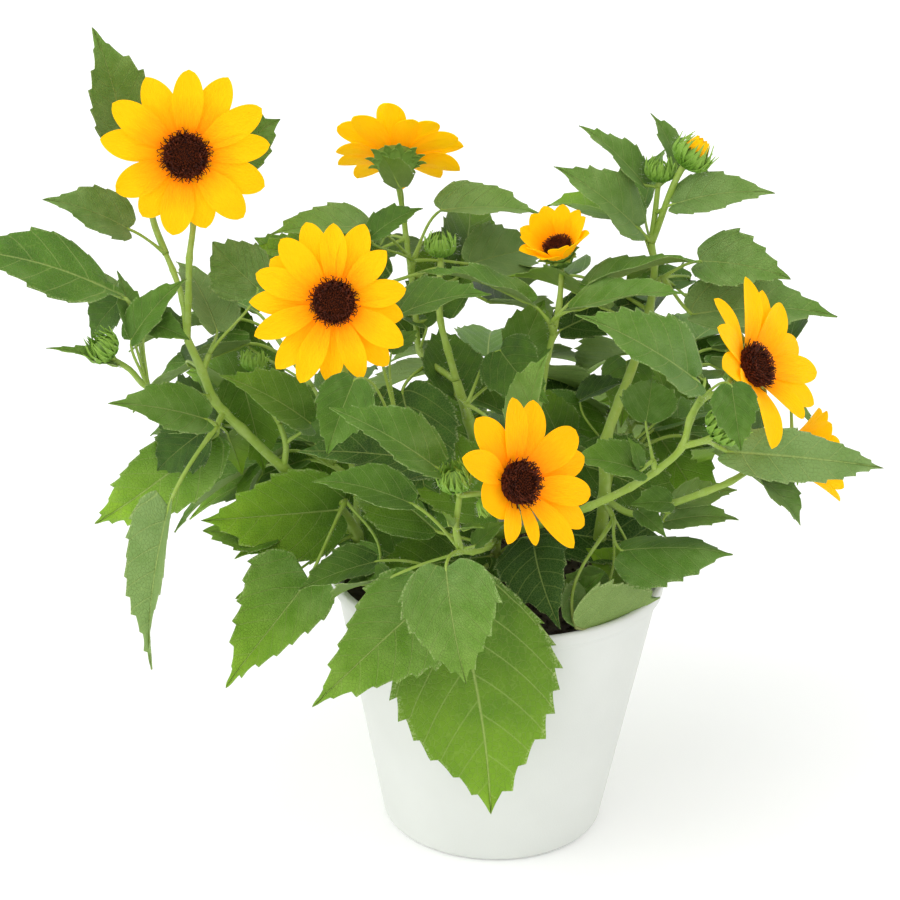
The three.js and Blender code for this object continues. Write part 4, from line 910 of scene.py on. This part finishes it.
# The petals glow faintly in their own gold: a painted glow that stands in for light shining through them.
petal.set(Base_Color=petal.blend((lines * 2.2 - 1.1).held() * 0.12, gold, tint(246, 140, 0)),
          Roughness=0.6 + lines * 0.15, Specular_IOR_Level=0.12, Emission_Color=gold,
          Emission_Strength=0.3, Subsurface_Weight=0.5, Subsurface_Radius=(1.0, 0.7, 0.1),
          Subsurface_Scale=0.0015)
petal.relief(lines + under * 0.05, 0.0004)
disc = Finish("dark_florets")
speck = disc.mottle(1500, 3)
disc.set(Base_Color=disc.blend((speck * 2.4 - 0.9).held(), tint(36, 11, 5), tint(126, 54, 15)),
         Roughness=0.6 + speck * 0.2, Specular_IOR_Level=0.15)
disc.relief(speck, 0.0004)
thread = Finish("brown_threads")
fleck = thread.mottle(420, 2)
thread.set(Base_Color=thread.blend((fleck * 2.6 - 0.9).held(), tint(42, 13, 8), tint(122, 54, 24)),
           Roughness=0.5 + fleck * 0.2, Specular_IOR_Level=0.25)
bract = Finish("green_bract")
along, across, tone, light = (bract.mark(name) for name in ("along", "across", "tone", "light"))
stripe = bract.mottle(9, 3, bract.add("ShaderNodeCombineXYZ", {}, {0: across * 8, 1: along, 2: tone * 9}))
green = bract.blend((stripe * 0.8 + tone * 0.4).held(), tint(94, 136, 44), tint(146, 180, 78))
# Painted light: the light mark turns bracts and sepals a lighter, limier green, more so towards their tips,
# standing in for light on and through them. The bowl and the bud knobs carry none.
bract.set(Base_Color=bract.blend(light, green, bract.blend(along, tint(104, 158, 36), tint(156, 196, 78))),
          Roughness=0.55 + stripe * 0.2)
bract.relief(stripe, 0.0005)


def petal_half(share, blunt=0.8):
    """Half-widths along a petal, as shares of its greatest: narrow foot, full middle, rounded tip."""
    rise = 0.42 + 0.58 * math.sin(math.pi / 2 * min(1, share / 0.55))
    return rise * max(0.0, 1 - max(0, (share - 0.48) / 0.52) ** 2.4) ** blunt


def bract_half(share):
    """Half-widths along a bract: full at the foot, running out to a point."""
    return math.sin(math.pi * min(1, 0.12 + 0.88 * share) ** 0.75) ** 0.9 if share < 1 else 0


petal_foot, petal_seat, petal_width = 0.011, 0.0108, 0.0067
disc_radius, disc_dome, disc_seat, disc_count = 0.0087, 0.0045, 0.0112, 210
golden_turn, open_from = 2.39996, 0.5
cup_radius = 0.0052
cup_profile = [(0.0066, 0.0035), (0.0092, 0.0066), (0.0106, 0.0096), (0.0088, 0.0104), (0, 0.0098)]
for index, (name, bough, facing, cup, size, warm, petals) in enumerate(flowers):
    chance = random.Random(300 + index)
    head = head_frame(node_of[bough][-1], facing)
    rays, florets, threads, cups = bmesh.new(), bmesh.new(), bmesh.new(), bmesh.new()
    for k, (turn, length, *wide) in enumerate(petals):
        length /= 1000
        lean = math.radians(cup + chance.uniform(-4, 4) + (3 if k % 2 else -3))
        droop = chance.uniform(0.02, 0.09)

        def course(share):
            out = -0.003 + share * (length + 0.003)
            return (petal_foot * size + out * math.cos(lean),
                    petal_seat * size + out * math.sin(lean) + 0.0006 * (k % 2)
                    - droop * length * share * share + 0.05 * length * math.sin(math.pi * share))

        broad = petal_width * chance.uniform(0.9, 1.08) * min(1.0, size * 1.05)
        broad *= min(1.0, 14.5 / len(petals)) * (wide[0] if wide else 1)
        blunt = chance.uniform(0.58, 0.84)
        lay_ray(rays, head, turn, course, lambda share: broad * petal_half(share, blunt),
                chance.uniform(0.1, 0.3), 22, 8, 0.0003, chance.random(), warm, chance.uniform(-0.2, 0.2))
    set_down("petals_" + name, rays, petal, [name])
    rim, dome, crown = disc_radius * size, disc_dome * size, disc_seat * size
    part = turned([(0, crown - 0.004), (rim * 0.97, crown - 0.003)]
                  + [(rim * math.cos(turn), crown + dome * 0.8 * math.sin(turn))
                     for turn in (math.pi / 2 * step / 9 for step in range(10))], 40)
    bmesh.ops.transform(part, matrix=head, verts=part.verts)
    lay_into(florets, part)
    # the small flowers of the disc: knobs in the middle, and open ones with two curled threads round it
    for k in range(disc_count):
        ring = math.sqrt((k + 0.5) / disc_count)
        turn = k * golden_turn
        height = crown + dome * 0.8 * math.sqrt(max(0, 1 - ring * ring))
        foot = Vector((rim * ring * math.cos(turn), rim * ring * math.sin(turn), height))
        lean = Vector((math.cos(turn) * ring * 0.7, math.sin(turn) * ring * 0.7, 1)).normalized()
        if ring > open_from:
            for fork in (-1, 1):
                around = Vector((-math.sin(turn), math.cos(turn), 0)) * fork * chance.uniform(0.05, 0.45)
                away = Vector((math.cos(turn), math.sin(turn), 0)) * chance.uniform(-0.5, 1.0) * ring
                way = (lean + around + away).normalized() * 0.0029 * size * chance.uniform(0.6, 1.1)
                side = (around + lean * 0.2).normalized() * 0.0009 * size
                bow = [foot, foot + way * 0.65, foot + way + side * 0.3, foot + way * 0.98 + side]
                draw_shoot(threads, [head @ spot for spot in bow],
                           [radius * size for radius in (0.00022, 0.0002, 0.0002, 0.00016)], 4)
        else:
            long = 0.0014 * size * chance.uniform(0.8, 1.2)
            stand = (Matrix.Translation(foot + lean * long * 0.3)
                     @ lean.to_track_quat("Z", "Y").to_matrix().to_4x4())
            bmesh.ops.create_cone(florets, segments=6, radius1=0.0005 * size, radius2=0.00022 * size,
                                  depth=long, cap_ends=True, matrix=head @ stand)
    set_down("disc_" + name, florets, disc, [name])
    set_down("threads_" + name, threads, thread, [])
    bowl = turned([(0, -0.001), (0.0018 * size, 0), (0.0035 * size, 0.0012)]
                  + [(radius * size, height * size) for radius, height in cup_profile], 32)
    bmesh.ops.transform(bowl, matrix=head, verts=bowl.verts)
    lay_into(cups, bowl)
    # three rings of bracts round the cup, each with its number and its reach in millimetres
    for ring, (count, reach) in enumerate(((11, 15), (10, 13), (9, 10))):
        for k in range(count):
            far = reach * size / 1000 * chance.uniform(0.9, 1.08)

            def course(share):
                height = 0.0022 + 0.0062 * math.sin(share * math.pi * 0.62) - 0.0012 * ring
                near = cup_radius * size
                return (near + (far - near) * share, height * size - 0.0004 * ring)

            # the cup bracts carry half the painted light
            lay_ray(cups, head, 360 * (k + 0.37 * ring) / count + chance.uniform(-5, 5), course,
                    lambda share: 0.0027 * size * bract_half(share), -0.15, 10, 4, 0.0004,
                    chance.random(), 0.5)
    set_down("cup_" + name, cups, bract, [name])

# A bud is a round green knob wrapped in pointed hairy sepals. The largest, at the top right, opens and
# shows the yellow tips of its petals. A row gives the mass and node that it stands on, its stalk, the
# way it faces and its radius.
open_radius = 0.008
buds = [
    ("front_foliage", 3, (-140, 65, 0.004), (-118, 69), 0.006),
    ("front_foliage", 3, (-12, 4, 0.011), (-55, -58), 0.0045),
    ("left_side_foliage", 4, (-144, 56, 0.003), (-144, 48), 0.0065),
    ("left_inner_foliage", 2, (141, 52, 0.026), (50, 77), 0.005),
    ("bud_foliage", 1, (180, 89, 0.002), (180, 89), 0.006),
    ("right_top_foliage", 3, (0, 85, 0.003), (0, 86), 0.006),
    ("right_top_foliage", 1, (-14, 71, 0.038), (0, 56), open_radius),
    ("right_side_foliage", 2, (-58, 55, 0.002), (-44, 46), 0.0075),
]
knob_profile = [(0, 0), (0.45, 0.08), (0.72, 0.42), (0.74, 0.75), (0.5, 1.02), (0.25, 1.1), (0, 1.12)]
knobs, stalks, showing, bristles = bmesh.new(), bmesh.new(), bmesh.new(), bmesh.new()
chance = random.Random(77)
for mass, node, stalk, facing, radius in buds:
    start = ends_of[mass][node]
    out = direction(*stalk[:2])
    base = start + out * stalk[2]
    head = head_frame(base, facing)
    forward = direction(*facing)
    path = geometry.interpolate_bezier(start, start + out * stalk[2] / 3, base - forward * stalk[2] / 4,
                                       base + forward * 0.001, max(4, round(stalk[2] / 0.002)))
    draw_shoot(stalks, path, [0.0009 + 0.07 * radius] * len(path), 10)
    body = turned([(radius * broad, radius * high) for broad, high in knob_profile], 24)
    bmesh.ops.transform(body, matrix=head, verts=body.verts)
    lay_into(knobs, body)
    # three rings of sepals, the outer ones standing off the most
    for ring, (count, tall, flare) in enumerate(((11, 1.5, 0.0), (14, 1.75, 0.1), (14, 1.5, 0.3))):
        for k in range(count):
            high = tall * radius * chance.uniform(0.85, 1.05)
            bulge, away = (0.9 + 0.07 * ring) * radius, flare * radius * chance.uniform(0.5, 1.3)

            def course(share):
                round_out = math.sin(min(1.0, share * 1.9) * math.pi / 2)
                close = (1.5 - 0.6 * ring) * radius * max(0, share - 0.45) ** 1.3
                return (radius * 0.3 + (bulge - radius * 0.3) * round_out - close
                        + away * max(0, share - 0.45) ** 1.5 * 2.2, radius * 0.05 + high * share ** 1.2)

            # the sepals carry the full painted light
            lay_ray(knobs, head, 360 * (k + 0.4 * ring) / count + chance.uniform(-8, 8), course,
                    lambda share: radius * 0.27 * bract_half(share) * (1.25 - share), -0.25, 14, 4, 0.00035,
                    chance.random(), 1.0, chance.uniform(-0.3, 0.3))
    add_hairs(bristles, [base + forward * radius * 0.2, base + forward * radius * 0.8,
                         base + forward * radius * 1.4], [radius, radius, radius * 0.8], 70, 0.0014, chance)
    if radius == open_radius:
        for turn in range(0, 360, 40):
            lay_ray(showing, head, turn,
                    lambda share: (radius * (0.62 - 0.25 * share), radius * (0.9 + 0.85 * share)),
                    lambda share: radius * 0.24 * petal_half(share), 0.1, 8, 3, 0.0003,
                    chance.random(), 0.2)
set_down("buds", knobs, bract, [])
set_down("bud_stalks", stalks, shoot, [])
set_down("bud_petals", showing, petal, [])
set_down("bud_hairs", bristles, down, [])
